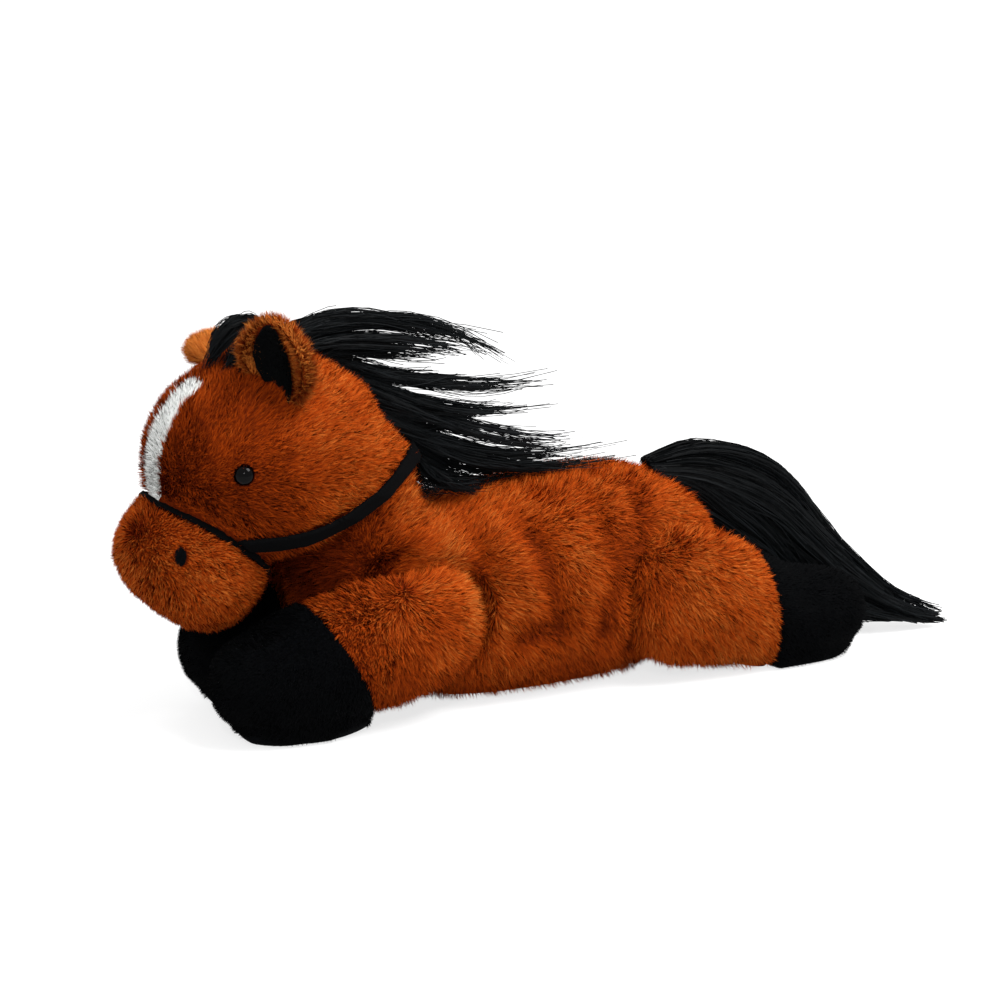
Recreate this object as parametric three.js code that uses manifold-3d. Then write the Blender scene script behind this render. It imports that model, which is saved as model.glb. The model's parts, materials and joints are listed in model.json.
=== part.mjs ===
// A plush horse that lies on its belly: sewn skins over stuffing, hooves, ears, halter, safety eyes and hair.
// Sizes are millimetres. +Z is up, the horse looks along -Y, and its left side is +X.
// The origin is on the floor, under the middle of the belly.

import * as THREE from 'three';
import { mergeVertices } from 'three/addons/utils/BufferGeometryUtils.js';
import Module from 'manifold-3d';

const wasm = await Module();
wasm.setup();

// Cloth, seams and clearances
const plushThickness = 4;
const sewnGap = 0.3;
const stuffingGap = 0.5;
const pressedFlat = 0.5;
const wellPast = 250;
const plainShare = 0.6;

// Torso: a bolster from the chest to the rump
const chestReach = 110;
const rumpReach = 104;
const torsoHalfWidth = 52;
const torsoHalfHeight = 55;
const torsoWidthShares = [0.74, 0.94, 1, 0.98, 0.8];
const torsoHeightShares = [0.86, 0.96, 0.97, 1, 0.88];
const torsoShape = { bluntness: 3, fullness: 2.2, around: 20, along: 12 };

// Neck: a round stump that ends in the flat seam on which the head turns
const neckSeamForward = 106;
const neckSeamHeight = 117;
const neckLean = THREE.MathUtils.degToRad(17);
const neckRadius = 37;
const neckDepth = 74;
const neckWidthShares = [1.2, 1, 1];
const neckShape = { bluntness: 5, around: 18, along: 7 };
const neckTurn = THREE.MathUtils.degToRad(25);
const neckTurnSteps = 9;
const jawOverhang = 16;
const jawFlare = 5;

// Head: a full, round form from the nape to the brow
const napeReach = 62;
const browReach = 207;
const headHalfWidth = 50;
const headHalfHeight = 58;
const headCentreHeight = 131;
const headWidthShares = [0.68, 0.86, 1, 1, 0.94];
const headHeightShares = [0.62, 0.72, 0.97, 0.97, 0.86];
const headLiftShares = [-0.34, -0.25, 0.01, 0.02, -0.04];
const headShape = { bluntness: 2.2, around: 20, along: 12 };

// Muzzle: a blunt bag that points forward and down from the noseband
const muzzleBehindBrow = 29;
const muzzleRootHeight = 95;
const muzzleTilt = THREE.MathUtils.degToRad(48);
const muzzleLength = 41;
const muzzleSeat = 26;
const muzzleHalfWidth = 36;
const muzzleHalfHeight = 40;
const muzzleWidthShares = [0.9, 1, 0.97];
const muzzleHeightShares = [0.88, 1, 0.96];
const muzzleClearance = 1;
const muzzleShape = { bluntness: 2.7, around: 16, along: 9 };

// Legs: each hangs on a flat, round seam beside the body and turns about its middle
const legSeamHalfWidth = 32;
const frontLeg = {
  forward: -1,
  jointY: -84,
  jointHeight: 48,
  jointRadius: 38,
  innerRadius: 48,
  seamX: 36,
  drawnIn: 11,
  toeReach: 104,
  hoofX: 30,
  sink: 1,
  halfWidth: 29,
  halfHeight: 34,
  widthShares: [0.84, 0.92, 1, 1],
  heightShares: [1.1, 1.08, 1, 0.94],
  outShares: [1, 0.9, 0.28, 0],
  riseShares: [1, 0.86, 0, 0],
  hoofSeamReach: 37,
  hoofSeamLean: THREE.MathUtils.degToRad(28),
  shape: { bluntness: 2.6, around: 14, along: 10 },
};
const hindLeg = {
  forward: 1,
  jointY: 72,
  jointHeight: 46,
  jointRadius: 40,
  innerRadius: 44,
  seamX: 37,
  drawnIn: 0,
  toeReach: 102,
  hoofX: 37,
  sink: 0,
  halfWidth: 25,
  halfHeight: 26,
  widthShares: [0.94, 0.98, 0.94, 1],
  heightShares: [1.6, 1.42, 1.02, 0.96],
  outShares: [1, 0.8, 0.3, 0],
  riseShares: [1, 0.5, 0, 0],
  hoofSeamReach: 42,
  hoofSeamLean: THREE.MathUtils.degToRad(-6),
  shape: { bluntness: 3.6, around: 14, along: 10 },
};
const hoofStepOut = 1;
const seamSides = 22;

// Ears: cupped leaves with a black lining in the cup
const earHalfWidth = 21;
const earHeight = 51;
const earHalfThickness = 8;
const earWidthShares = [0.8, 1, 0.72];
const earShape = { bluntness: 2, around: 16, along: 9 };
const earSeatShare = 0.58;
const earSeatAngle = THREE.MathUtils.degToRad(52);
const earSunk = 9;
const leftEar = {
  side: 1,
  outTurn: THREE.MathUtils.degToRad(36),
  forwardLean: THREE.MathUtils.degToRad(14),
};
const rightEar = {
  side: -1,
  outTurn: THREE.MathUtils.degToRad(75),
  forwardLean: THREE.MathUtils.degToRad(95),
};
const earSideLean = THREE.MathUtils.degToRad(8);
const earCupDepth = 10;
const earRim = 4;
const earLiningThickness = 1.8;
const earSwing = THREE.MathUtils.degToRad(15);

// Safety eyes with their lock washers behind the skin
const eyeRadius = 5.2;
const eyeDome = 4.2;
const eyeRim = 0.8;
const eyeBehindBrow = 33;
const eyeLift = 5;
const eyeShankRadius = 2;
const eyeShankLength = 14;
const eyeRibHeight = 0.35;
const eyeRibCount = 3;
const shankClearance = 0.4;
const washerRadius = 7.5;
const washerThickness = 1.6;
const washerBossRadius = 3.6;
const washerBossHeight = 1.4;
const washerBehindSkin = 2;
const shankHole = eyeShankRadius + eyeRibHeight + shankClearance;
const washerDepth = plushThickness + washerBehindSkin + washerThickness + washerBossHeight;
const eyeArcSteps = 5;
const eyeSides = 16;
const shankSides = 8;
const washerSides = 14;

// Nostrils and blaze
const nostrilApart = 30;
const nostrilHeight = 98;
const nostrilHalfWidth = 3.4;
const nostrilHalfHeight = 5.2;
const stitchHeight = 1;
const nostrilSides = 12;
const blazeHalfWidth = 7.5;
const blazeDrop = 23;
const blazeRise = 50;
const blazeDepth = 60;
const blazeWidthShares = [0.9, 0.95, 1, 1, 0.6];

// Halter: a noseband in the muzzle seam and one strap round the back of the neck
const ribbonThickness = 1.6;
const nosebandWidth = 3.6;
const cheekStrapWidth = 7;
const strapAlongShares = [0.8, 0.63, 0.46, 0.3, 0.19, 0.1, -0.1];
const strapRiseShares = [-0.54, -0.53, -0.45, -0.27, -0.13, -0.05, 0.02];

// Hair of the head: a ridge and locks that taper from a root on the crest to a tip behind the neck
const lockHalfWidth = 8;
const lockHalfHeight = 7;
const lockWidthShares = [0.8, 1, 0.8, 0.36, 0.1];
const lockHeightShares = [0.9, 1, 0.75, 0.36, 0.12];
const lockLiftShares = [0, 1, 0.5, 0];
const lockShape = { bluntness: 2, around: 7, along: 7 };
const ridgePlaces = 5;
const ridgeFrontShare = 0.66;
const ridgeBackShare = 0.05;
const maneReach = 100;
const maneLocks = [
  { rootShare: 0.62, tipShares: [-0.04, 0.2, 0.63] },
  { rootShare: 0.5, tipShares: [0.03, 0.47, 0.49] },
  { rootShare: 0.42, tipShares: [0.09, 0.16, 0.45] },
  { rootShare: 0.36, tipShares: [-0.07, 0.7, 0.34] },
  { rootShare: 0.28, tipShares: [0.06, 0.67, 0.23] },
  { rootShare: 0.2, tipShares: [-0.05, 0.82, 0.1] },
  { rootShare: 0.13, tipShares: [0.04, 1.02, 0.01] },
  { rootShare: 0.08, tipShares: [0.1, 0.64, -0.02] },
];
const forelockHalfWidth = 12;
const forelockHalfHeight = 7;
const forelockRootShares = [0.86, 0.74, 0.6, 0.5];
const forelockLiftShares = [-0.1, 0.7, 1.3, 1.3];
const forelockWidthShares = [0.75, 1, 0.75, 0.2];
const forelockHeightShares = [0.6, 1, 0.7, 0.2];
const forelockShape = { bluntness: 2, around: 10, along: 8 };

// Tail: one falling mass of hair, from the rump to a tip that swings to the left on the floor
const tailRootReach = 70;
const tailRootHeight = 99;
const tailReach = 166;
const tailSwing = 25;
const tailHalfWidth = 20;
const tailHalfHeight = 26;
const tailShares = [
  [0, 0, 1],
  [0, 0.17, 0.93],
  [0, 0.4, 0.67],
  [0.2, 0.64, 0.3],
  [0.64, 0.83, 0.09],
  [1, 1, 0.04],
];
const tailWidthShares = [0.4, 0.9, 1, 0.75, 0.55, 0.1];
const tailHeightShares = [0.27, 0.77, 1, 0.73, 0.31, 0.12];
const tailShape = { bluntness: 2.4, around: 14, along: 14 };
const tailClearance = 1.5;
const hindLegRaise = THREE.MathUtils.degToRad(5);

const up = new THREE.Vector3(0, 0, 1);
const sideways = new THREE.Vector3(1, 0, 0);
const lengthwise = new THREE.Vector3(0, 1, 0);
const neckSeam = new THREE.Vector3(0, -neckSeamForward, neckSeamHeight);
const neckAxis = new THREE.Vector3(0, -Math.sin(neckLean), Math.cos(neckLean));
const muzzleRoot = new THREE.Vector3(0, muzzleBehindBrow - browReach, muzzleRootHeight);
const muzzleAxis = new THREE.Vector3(0, -Math.cos(muzzleTilt), -Math.sin(muzzleTilt));

const finish = {
  plush: { color: 0xa54b19, roughness: 0.95 },
  hoof: { color: 0x0c0d0f, roughness: 0.9 },
  hair: { color: 0x0a0c0e, roughness: 0.55 },
  lining: { color: 0x101012, roughness: 0.9 },
  blaze: { color: 0xe1e4e1, roughness: 0.95 },
  ribbon: { color: 0x08090a, roughness: 0.7 },
  eye: { color: 0x050505, roughness: 0.08 },
  washer: { color: 0xdcdcd8, roughness: 0.5 },
  stuffing: { color: 0xf2f0ea, roughness: 1 },
};

const horse = new THREE.Group();

function solid(geometry) {
  geometry.deleteAttribute('normal');
  geometry.deleteAttribute('uv');
  const merged = mergeVertices(geometry);
  return new wasm.Manifold(new wasm.Mesh({
    numProp: 3,
    vertProperties: new Float32Array(merged.attributes.position.array),
    triVerts: new Uint32Array(merged.index.array),
  }));
}

function geometryOf(manifold) {
  const mesh = manifold.getMesh();
  const geometry = new THREE.BufferGeometry();
  geometry.setAttribute('position', new THREE.BufferAttribute(mesh.vertProperties, 3));
  geometry.setIndex(new THREE.BufferAttribute(mesh.triVerts, 1));
  geometry.computeVertexNormals();
  return geometry;
}

function add(name, manifold, look) {
  const mesh = new THREE.Mesh(geometryOf(manifold), new THREE.MeshStandardMaterial(finish[look]));
  mesh.name = name;
  horse.add(mesh);
}

function join(...solids) {
  return solids.reduce((whole, next) => whole.add(next));
}

function box(low, high) {
  const size = high.clone().sub(low);
  const geometry = new THREE.BoxGeometry(size.x, size.y, size.z);
  geometry.translate(low.x + size.x / 2, low.y + size.y / 2, low.z + size.z / 2);
  return solid(geometry);
}

// A round bar along a direction, from one point to another.
function bar(from, to, radius, sides) {
  const span = to.clone().sub(from);
  const geometry = new THREE.CylinderGeometry(radius, radius, span.length(), sides);
  const direction = span.clone().normalize();
  geometry.applyQuaternion(new THREE.Quaternion().setFromUnitVectors(lengthwise, direction));
  const middle = from.clone().add(to).multiplyScalar(0.5);
  geometry.translate(middle.x, middle.y, middle.z);
  return solid(geometry);
}

// A profile of [radius, height] pairs turned about an axis through a point.
function turned(profile, place, axis, sides) {
  const points = profile.map(([radius, height]) => new THREE.Vector2(radius, height));
  const geometry = new THREE.LatheGeometry(points, sides);
  geometry.applyQuaternion(new THREE.Quaternion().setFromUnitVectors(lengthwise, axis));
  geometry.translate(place.x, place.y, place.z);
  return solid(geometry);
}

// The same solid moved, turned or mirrored by a matrix
function placed(manifold, matrix) {
  const geometry = geometryOf(manifold);
  geometry.applyMatrix4(matrix);
  if (matrix.determinant() < 0) {
    const index = geometry.index.array;
    for (let i = 0; i < index.length; i += 3) {
      [index[i], index[i + 1]] = [index[i + 1], index[i]];
    }
  }
  return solid(geometry);
}

const mirrorAcross = new THREE.Matrix4().makeScale(-1, 1, 1);

function mirrored(manifold, side) {
  return side > 0 ? manifold : placed(manifold, mirrorAcross);
}

function bothSides(manifold) {
  return join(manifold, mirrored(manifold, -1));
}

// A solid joined with itself at each of the angles, turned about an axis through a point
function swept(manifold, point, axis, angles) {
  return join(...angles.map((angle) => {
    const turn = new THREE.Matrix4().makeRotationAxis(axis, angle);
    const home = new THREE.Matrix4().makeTranslation(-point.x, -point.y, -point.z);
    return placed(manifold, new THREE.Matrix4().setPosition(point).multiply(turn).multiply(home));
  }));
}

function addPair(name, manifold, look) {
  add(`left_${name}`, manifold, look);
  add(`right_${name}`, mirrored(manifold, -1), look);
}

// The place and the outward direction where a ray first meets a solid
function touch(manifold, from, direction) {
  const mesh = new THREE.Mesh(geometryOf(manifold), new THREE.MeshBasicMaterial({ side: THREE.DoubleSide }));
  const [hit] = new THREE.Raycaster(from, direction).intersectObject(mesh);
  return { point: hit.point, outward: hit.face.normal };
}

// Smooth value at t (0 to 1) through evenly spaced values
function smooth(values, t) {
  const curve = new THREE.CatmullRomCurve3(values.map((value) => new THREE.Vector3(value, 0, 0)));
  return curve.getPoint(t).x;
}

// A stuffed form: the poles of a unit sphere run to the ends of a spine, and its rings swell and taper.
// Blunt ends come from a high bluntness, boxy sections from a high fullness.
function stuffed(form, grow = 0) {
  const spine = new THREE.CatmullRomCurve3(form.spine);
  const geometry = new THREE.SphereGeometry(1, form.around, form.along);
  const position = geometry.attributes.position;
  const fullness = form.fullness ?? 2;
  for (let i = 0; i < position.count; i += 1) {
    const polar = THREE.MathUtils.clamp(position.getY(i), -1, 1);
    const t = (1 - polar) / 2;
    const tangent = spine.getTangent(t);
    const across = sideways.clone().addScaledVector(tangent, -sideways.dot(tangent)).normalize();
    const rise = tangent.clone().cross(across);
    const angle = Math.atan2(position.getZ(i), position.getX(i));
    const ring = Math.pow(Math.max(0, 1 - Math.pow(Math.abs(polar), form.bluntness)), 1 / form.bluntness);
    const cos = Math.sign(Math.cos(angle)) * Math.pow(Math.abs(Math.cos(angle)), 2 / fullness);
    const sin = Math.sign(Math.sin(angle)) * Math.pow(Math.abs(Math.sin(angle)), 2 / fullness);
    const point = spine.getPoint(t)
      .addScaledVector(tangent, -polar * grow)
      .addScaledVector(across, cos * ring * (smooth(form.halfWidths, t) + grow))
      .addScaledVector(rise, sin * ring * (smooth(form.halfHeights, t) + grow));
    position.setXYZ(i, point.x, point.y, point.z);
  }
  return solid(geometry);
}

// The same form with fewer rings and sides, for what lies hidden inside
function plain(form) {
  return { ...form, around: Math.ceil(form.around * plainShare), along: Math.ceil(form.along * plainShare) };
}

function scaled(shares, size) {
  return shares.map((share) => share * size);
}

function spread(count, from, to) {
  return Array.from({ length: count }, (unused, i) => from + ((to - from) * i) / (count - 1));
}

// Everything above the floor
const aboveFloor = box(
  new THREE.Vector3(-wellPast, -wellPast, 0),
  new THREE.Vector3(wellPast, wellPast, wellPast),
);

function torsoForm() {
  const halfHeights = scaled(torsoHeightShares, torsoHalfHeight);
  const places = spread(halfHeights.length, -chestReach, rumpReach);
  return {
    spine: places.map((y, i) => new THREE.Vector3(0, y, halfHeights[i] - pressedFlat)),
    halfWidths: scaled(torsoWidthShares, torsoHalfWidth),
    halfHeights,
    ...torsoShape,
  };
}

function neckForm() {
  const along = spread(neckWidthShares.length, -neckDepth, jawOverhang);
  return {
    spine: along.map((step) => neckSeam.clone().addScaledVector(neckAxis, step)),
    halfWidths: scaled(neckWidthShares, neckRadius),
    halfHeights: scaled(neckWidthShares, neckRadius),
    ...neckShape,
  };
}

function headForm() {
  const halfHeights = scaled(headHeightShares, headHalfHeight);
  const places = spread(halfHeights.length, -napeReach, -browReach);
  return {
    spine: places.map((y, i) => (
      new THREE.Vector3(0, y, headCentreHeight + headLiftShares[i] * headHalfHeight)
    )),
    halfWidths: scaled(headWidthShares, headHalfWidth),
    halfHeights,
    ...headShape,
  };
}

function muzzleForm() {
  const along = spread(muzzleWidthShares.length, -muzzleSeat, muzzleLength);
  return {
    spine: along.map((step) => muzzleRoot.clone().addScaledVector(muzzleAxis, step)),
    halfWidths: scaled(muzzleWidthShares, muzzleHalfWidth),
    halfHeights: scaled(muzzleHeightShares, muzzleHalfHeight),
    ...muzzleShape,
  };
}

// A leg runs from its joint to its toe and comes down to the floor on the way.
function legForm(leg) {
  const halfHeights = scaled(leg.heightShares, leg.halfHeight);
  const start = leg.jointY - leg.forward * leg.jointRadius;
  const places = spread(halfHeights.length, start, leg.jointY + leg.forward * leg.toeReach);
  const onFloor = (i) => halfHeights[i] - pressedFlat - leg.sink;
  return {
    spine: places.map((y, i) => new THREE.Vector3(
      THREE.MathUtils.lerp(leg.hoofX, leg.seamX, leg.outShares[i]),
      y,
      THREE.MathUtils.lerp(onFloor(i), leg.jointHeight, leg.riseShares[i]),
    )),
    halfWidths: scaled(leg.widthShares, leg.halfWidth),
    halfHeights,
    ...leg.shape,
  };
}

// The surface of revolution on which the head turns: a flat seam, then a flare under the jaw.
function neckSplit(lift, above) {
  const end = above ? wellPast : -wellPast;
  const profile = [
    [0, lift],
    [neckRadius, lift],
    [neckRadius + jawFlare, lift - jawOverhang],
    [wellPast, lift - jawOverhang],
    [wellPast, end],
    [0, end],
  ];
  return turned(above ? profile : profile.reverse(), neckSeam, neckAxis, neckShape.around);
}

function legPocket(leg, grow, side) {
  const from = new THREE.Vector3(side * (legSeamHalfWidth - grow), leg.jointY, leg.jointHeight);
  const to = from.clone().setX(side * wellPast);
  return bar(from, to, (leg.jointRadius + sewnGap + grow) / Math.cos(Math.PI / seamSides), seamSides);
}

function bodyForm(grow, detail = (form) => form) {
  const pockets = [1, -1].flatMap((side) => [frontLeg, hindLeg].map((leg) => legPocket(leg, -grow, side)));
  const whole = join(stuffed(detail(torsoForm()), grow), stuffed(detail(neckForm()), grow));
  return whole.subtract(join(...pockets));
}

// The body with its neck, open at the neck seam
function addBody() {
  const inside = bodyForm(-plushThickness, plain);
  const skin = bodyForm(0).subtract(neckSplit(-sewnGap, true)).intersect(aboveFloor).subtract(inside);
  const filling = bodyForm(-plushThickness - stuffingGap, plain);
  add('body_skin', skin, 'plush');
  add('body_stuffing', filling.subtract(neckSplit(-sewnGap - stuffingGap, true)), 'stuffing');
}

// The muzzle wherever the turning head carries it
function muzzleSwept() {
  const angles = spread(neckTurnSteps, -neckTurn, neckTurn);
  return swept(stuffed(muzzleForm(), muzzleClearance), neckSeam, neckAxis, angles);
}

// What a leg must not enter: the body inside its seam, the neck, and everything past its round root
function besideLeg(leg) {
  const centre = new THREE.Vector3(legSeamHalfWidth + sewnGap, leg.jointY, leg.jointHeight);
  const body = bar(centre.clone().setX(-wellPast), centre, leg.innerRadius, seamSides);
  const root = bar(centre, centre.clone().setX(wellPast), leg.jointRadius, seamSides);
  const behind = box(
    new THREE.Vector3(-wellPast, leg.forward > 0 ? -wellPast : leg.jointY, -wellPast),
    new THREE.Vector3(wellPast, leg.forward > 0 ? leg.jointY : wellPast, wellPast),
  );
  return join(body, stuffed(neckForm(), sewnGap), behind.subtract(root));
}

// Everything past the ankle seam, which leans toward the toe or back over the heel
function pastAnkle(leg, shift) {
  const ankleY = leg.jointY + leg.forward * leg.hoofSeamReach;
  const axis = new THREE.Vector3(0, leg.forward * Math.cos(leg.hoofSeamLean), -Math.sin(leg.hoofSeamLean));
  const ankle = new THREE.Vector3(leg.hoofX, ankleY, leg.halfHeight).addScaledVector(axis, shift);
  return bar(ankle, ankle.clone().addScaledVector(axis, wellPast), wellPast, seamSides);
}

// One leg, made as a left one. The right leg of a pair may be drawn in toward its joint.
function addLeg(name, pairOf, side) {
  const toeReach = pairOf.toeReach - (side > 0 ? 0 : pairOf.drawnIn);
  const hoofSeamReach = pairOf.hoofSeamReach * (toeReach / pairOf.toeReach);
  const leg = { ...pairOf, toeReach, hoofSeamReach };
  const form = legForm(leg);
  const keptOut = join(besideLeg(leg), muzzleSwept());
  const inside = stuffed(plain(form), -plushThickness);
  const skin = stuffed(form).subtract(keptOut).intersect(aboveFloor).subtract(pastAnkle(leg, -sewnGap / 2));
  const boot = stuffed(form, hoofStepOut).intersect(aboveFloor).intersect(pastAnkle(leg, sewnGap / 2));
  const filling = stuffed(plain(form), -plushThickness - stuffingGap);
  add(`${name}_leg_skin`, mirrored(skin.subtract(inside), side), 'plush');
  add(`${name}_leg_stuffing`, mirrored(filling.subtract(keptOut), side), 'stuffing');
  add(`${name}_hoof`, mirrored(boot.subtract(inside).subtract(keptOut), side), 'hoof');
}

function addMuzzle() {
  const outside = stuffed(muzzleForm()).subtract(stuffed(headForm(), sewnGap));
  const filling = stuffed(plain(muzzleForm()), -plushThickness - stuffingGap);
  add('muzzle_skin', outside.subtract(stuffed(plain(muzzleForm()), -plushThickness)), 'plush');
  add('muzzle_stuffing', filling.subtract(stuffed(plain(headForm()), -plushThickness)), 'stuffing');
}

// A strip of the forehead, seen from the front, that the blaze panel fills
function blazeStrip(grow) {
  const bottom = headCentreHeight - blazeDrop - grow;
  const top = headCentreHeight + blazeRise + grow;
  const heights = spread(blazeWidthShares.length, bottom, top);
  const edge = (side) => heights.map((z, i) => (
    new THREE.Vector2(side * (blazeWidthShares[i] * blazeHalfWidth + grow), z)
  ));
  const outline = new THREE.Shape([...edge(1), ...edge(-1).reverse()]);
  const geometry = new THREE.ExtrudeGeometry(outline, { depth: blazeDepth, bevelEnabled: false });
  geometry.rotateX(Math.PI / 2);
  geometry.translate(0, blazeDepth - browReach, 0);
  return solid(geometry);
}

// The cheek strap's track in side view, as wide as the strap and drawn out through the head
function strapTrack(grow) {
  const headLength = browReach - napeReach;
  const middle = new THREE.SplineCurve(strapAlongShares.map((share, i) => (
    new THREE.Vector2(-napeReach - share * headLength, headCentreHeight + strapRiseShares[i] * headHalfHeight)
  )));
  const steps = spread(strapAlongShares.length * 2, 0, 1);
  const edge = (side) => steps.map((t) => {
    const tangent = middle.getTangent(t);
    const across = new THREE.Vector2(-tangent.y, tangent.x);
    return middle.getPoint(t).add(across.multiplyScalar(side * (cheekStrapWidth / 2 + grow)));
  });
  const outline = new THREE.Shape([...edge(1), ...edge(-1).reverse()]);
  const geometry = new THREE.ExtrudeGeometry(outline, { depth: wellPast, bevelEnabled: false });
  geometry.translate(0, 0, -wellPast / 2);
  geometry.applyMatrix4(new THREE.Matrix4().makeBasis(lengthwise, up, sideways));
  return solid(geometry);
}

// A layer of a given thickness that lies on a form with the sewn gap under it
function layer(form, thickness) {
  return stuffed(form, sewnGap + thickness).subtract(stuffed(form, sewnGap));
}

function cheekStrap(grow) {
  return layer(headForm(), ribbonThickness + grow).intersect(strapTrack(grow));
}

function noseband(grow) {
  return layer(muzzleForm(), ribbonThickness + grow).intersect(layer(headForm(), nosebandWidth + grow));
}

// One eye: a dome on a ribbed shank, turned about the direction in which it looks
function eyeProfile() {
  const arc = spread(eyeArcSteps, 0, Math.PI / 2).map((angle) => (
    [eyeRadius * Math.sin(angle), eyeRim + eyeDome * Math.cos(angle)]
  ));
  const ribPitch = eyeShankLength / (eyeRibCount + 1);
  const ribs = spread(eyeRibCount, ribPitch, eyeRibCount * ribPitch).flatMap((depth) => [
    [eyeShankRadius, ribPitch / 4 - depth],
    [eyeShankRadius + eyeRibHeight, -depth],
    [eyeShankRadius, -ribPitch / 4 - depth],
  ]);
  return [
    ...arc,
    [eyeRadius, 0],
    [eyeShankRadius, 0],
    ...ribs,
    [eyeShankRadius, -eyeShankLength],
    [0, -eyeShankLength],
  ];
}

// A washer with a boss, from the bottom of the boss at height zero, round its hole and closed on itself
function washerProfile() {
  const top = washerBossHeight + washerThickness;
  return [
    [shankHole, top],
    [washerRadius, top],
    [washerRadius, washerBossHeight],
    [washerBossRadius, 0],
    [shankHole, 0],
    [shankHole, top],
  ];
}

function eyeSeatOn(head) {
  const from = new THREE.Vector3(wellPast, eyeBehindBrow - browReach, headCentreHeight + eyeLift);
  return touch(head, from, sideways.clone().negate());
}

// The place a given depth below the eye's seat on the skin
function belowEye({ point, outward }, depth) {
  return point.clone().addScaledVector(outward, -depth);
}

function addEyes(seat) {
  const eye = turned(eyeProfile().reverse(), belowEye(seat, -sewnGap), seat.outward, eyeSides);
  const washer = turned(washerProfile().reverse(), belowEye(seat, washerDepth), seat.outward, washerSides);
  addPair('eye', eye, 'eye');
  addPair('eye_washer', washer, 'washer');
}

function addHead(seat) {
  const inside = stuffed(plain(headForm()), -plushThickness);
  const muzzleMouth = stuffed(plain(muzzleForm()), -plushThickness);
  const shankEnd = belowEye(seat, eyeShankLength + sewnGap);
  const shankWay = bothSides(bar(belowEye(seat, -eyeRim), shankEnd, shankHole, shankSides));
  const washerEnd = belowEye(seat, washerDepth + sewnGap);
  const washerStart = belowEye(seat, plushThickness + washerBehindSkin - sewnGap);
  const washerWay = bothSides(bar(washerStart, washerEnd, washerRadius + sewnGap, washerSides));
  const shell = stuffed(headForm()).subtract(neckSplit(0, false)).subtract(inside).subtract(muzzleMouth);
  const filling = stuffed(plain(headForm()), -plushThickness - stuffingGap);
  const cutFilling = filling.subtract(neckSplit(stuffingGap, false)).subtract(washerWay).subtract(shankWay);
  add('head_skin', shell.subtract(blazeStrip(sewnGap)).subtract(shankWay).subtract(washerWay), 'plush');
  add('forehead_blaze', shell.intersect(blazeStrip(0)), 'blaze');
  add('head_stuffing', cutFilling, 'stuffing');
}

// A stitched oval that lies on the muzzle, square to its surface
function addNostrils() {
  const from = new THREE.Vector3(nostrilApart, -wellPast, nostrilHeight);
  const { point, outward } = touch(stuffed(muzzleForm()), from, lengthwise);
  const oval = new THREE.CylinderGeometry(1, 1, nostrilHalfHeight, nostrilSides);
  oval.rotateX(Math.PI / 2);
  oval.scale(nostrilHalfWidth, nostrilHalfHeight, 1);
  oval.applyMatrix4(new THREE.Matrix4().lookAt(outward, new THREE.Vector3(), up).setPosition(point));
  addPair('nostril', layer(muzzleForm(), stitchHeight).intersect(solid(oval)), 'lining');
}

// One ear, made upright and facing forward, then turned and seated on the head
function earLeaf() {
  return {
    spine: spread(earWidthShares.length, 0, earHeight).map((z) => new THREE.Vector3(0, 0, z)),
    halfWidths: scaled(earWidthShares, earHalfWidth),
    halfHeights: earWidthShares.map(() => earHalfThickness),
    ...earShape,
  };
}

function earCup() {
  return {
    spine: earLeaf().spine.map((point) => point.clone().setY(-earHalfThickness)),
    halfWidths: scaled(earWidthShares, earHalfWidth - earRim),
    halfHeights: earWidthShares.map(() => earCupDepth),
    ...earShape,
  };
}

// The matrix that takes an ear made at the origin to its seat on the head
function earPlace({ outTurn, forwardLean, side }) {
  const centre = new THREE.CatmullRomCurve3(headForm().spine).getPoint(earSeatShare);
  const direction = new THREE.Vector3(Math.cos(earSeatAngle), 0, Math.sin(earSeatAngle));
  const from = centre.clone().addScaledVector(direction, wellPast);
  const { point } = touch(stuffed(headForm()), from, direction.clone().negate());
  const turn = new THREE.Matrix4().makeRotationZ(outTurn);
  const lean = new THREE.Matrix4().makeRotationFromEuler(new THREE.Euler(forwardLean, earSideLean, 0));
  const sink = new THREE.Matrix4().makeTranslation(0, 0, -earSunk);
  const left = new THREE.Matrix4().setPosition(point).multiply(turn).multiply(lean).multiply(sink);
  return side > 0 ? left : mirrorAcross.clone().multiply(left);
}

function addEar(sideName, stance) {
  const place = earPlace(stance);
  const headHere = placed(stuffed(headForm(), sewnGap), place.clone().invert());
  const head = swept(headHere, new THREE.Vector3(0, 0, earSunk), sideways, [-earSwing, 0, earSwing]);
  const cup = stuffed(earCup(), -sewnGap);
  const cupFloor = placed(cup, new THREE.Matrix4().makeTranslation(0, -earLiningThickness, 0));
  const outer = stuffed(earLeaf()).subtract(stuffed(earCup())).subtract(head);
  const lining = cup.subtract(cupFloor).intersect(stuffed(earLeaf(), -sewnGap)).subtract(head);
  add(`${sideName}_ear_outer`, placed(outer, place), 'plush');
  add(`${sideName}_ear_lining`, placed(lining, place), 'lining');
}

// A lock of hair through a list of places, thick near its root and fine at its tip
function lock(places) {
  return stuffed({
    spine: places,
    halfWidths: scaled(lockWidthShares, lockHalfWidth),
    halfHeights: scaled(lockHeightShares, lockHalfHeight),
    ...lockShape,
  });
}

// The place on top of the head at a share of its length, raised by a lift
function crest(share, lift) {
  const centre = new THREE.CatmullRomCurve3(headForm().spine).getPoint(share);
  const from = centre.addScaledVector(up, wellPast);
  return touch(stuffed(headForm()), from, up.clone().negate()).point.addScaledVector(up, lift);
}

function forelock(grow) {
  return stuffed({
    spine: forelockRootShares.map((share, i) => crest(share, forelockLiftShares[i] * forelockHalfHeight)),
    halfWidths: scaled(forelockWidthShares, forelockHalfWidth),
    halfHeights: scaled(forelockHeightShares, forelockHalfHeight),
    ...forelockShape,
  }, grow);
}

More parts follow.
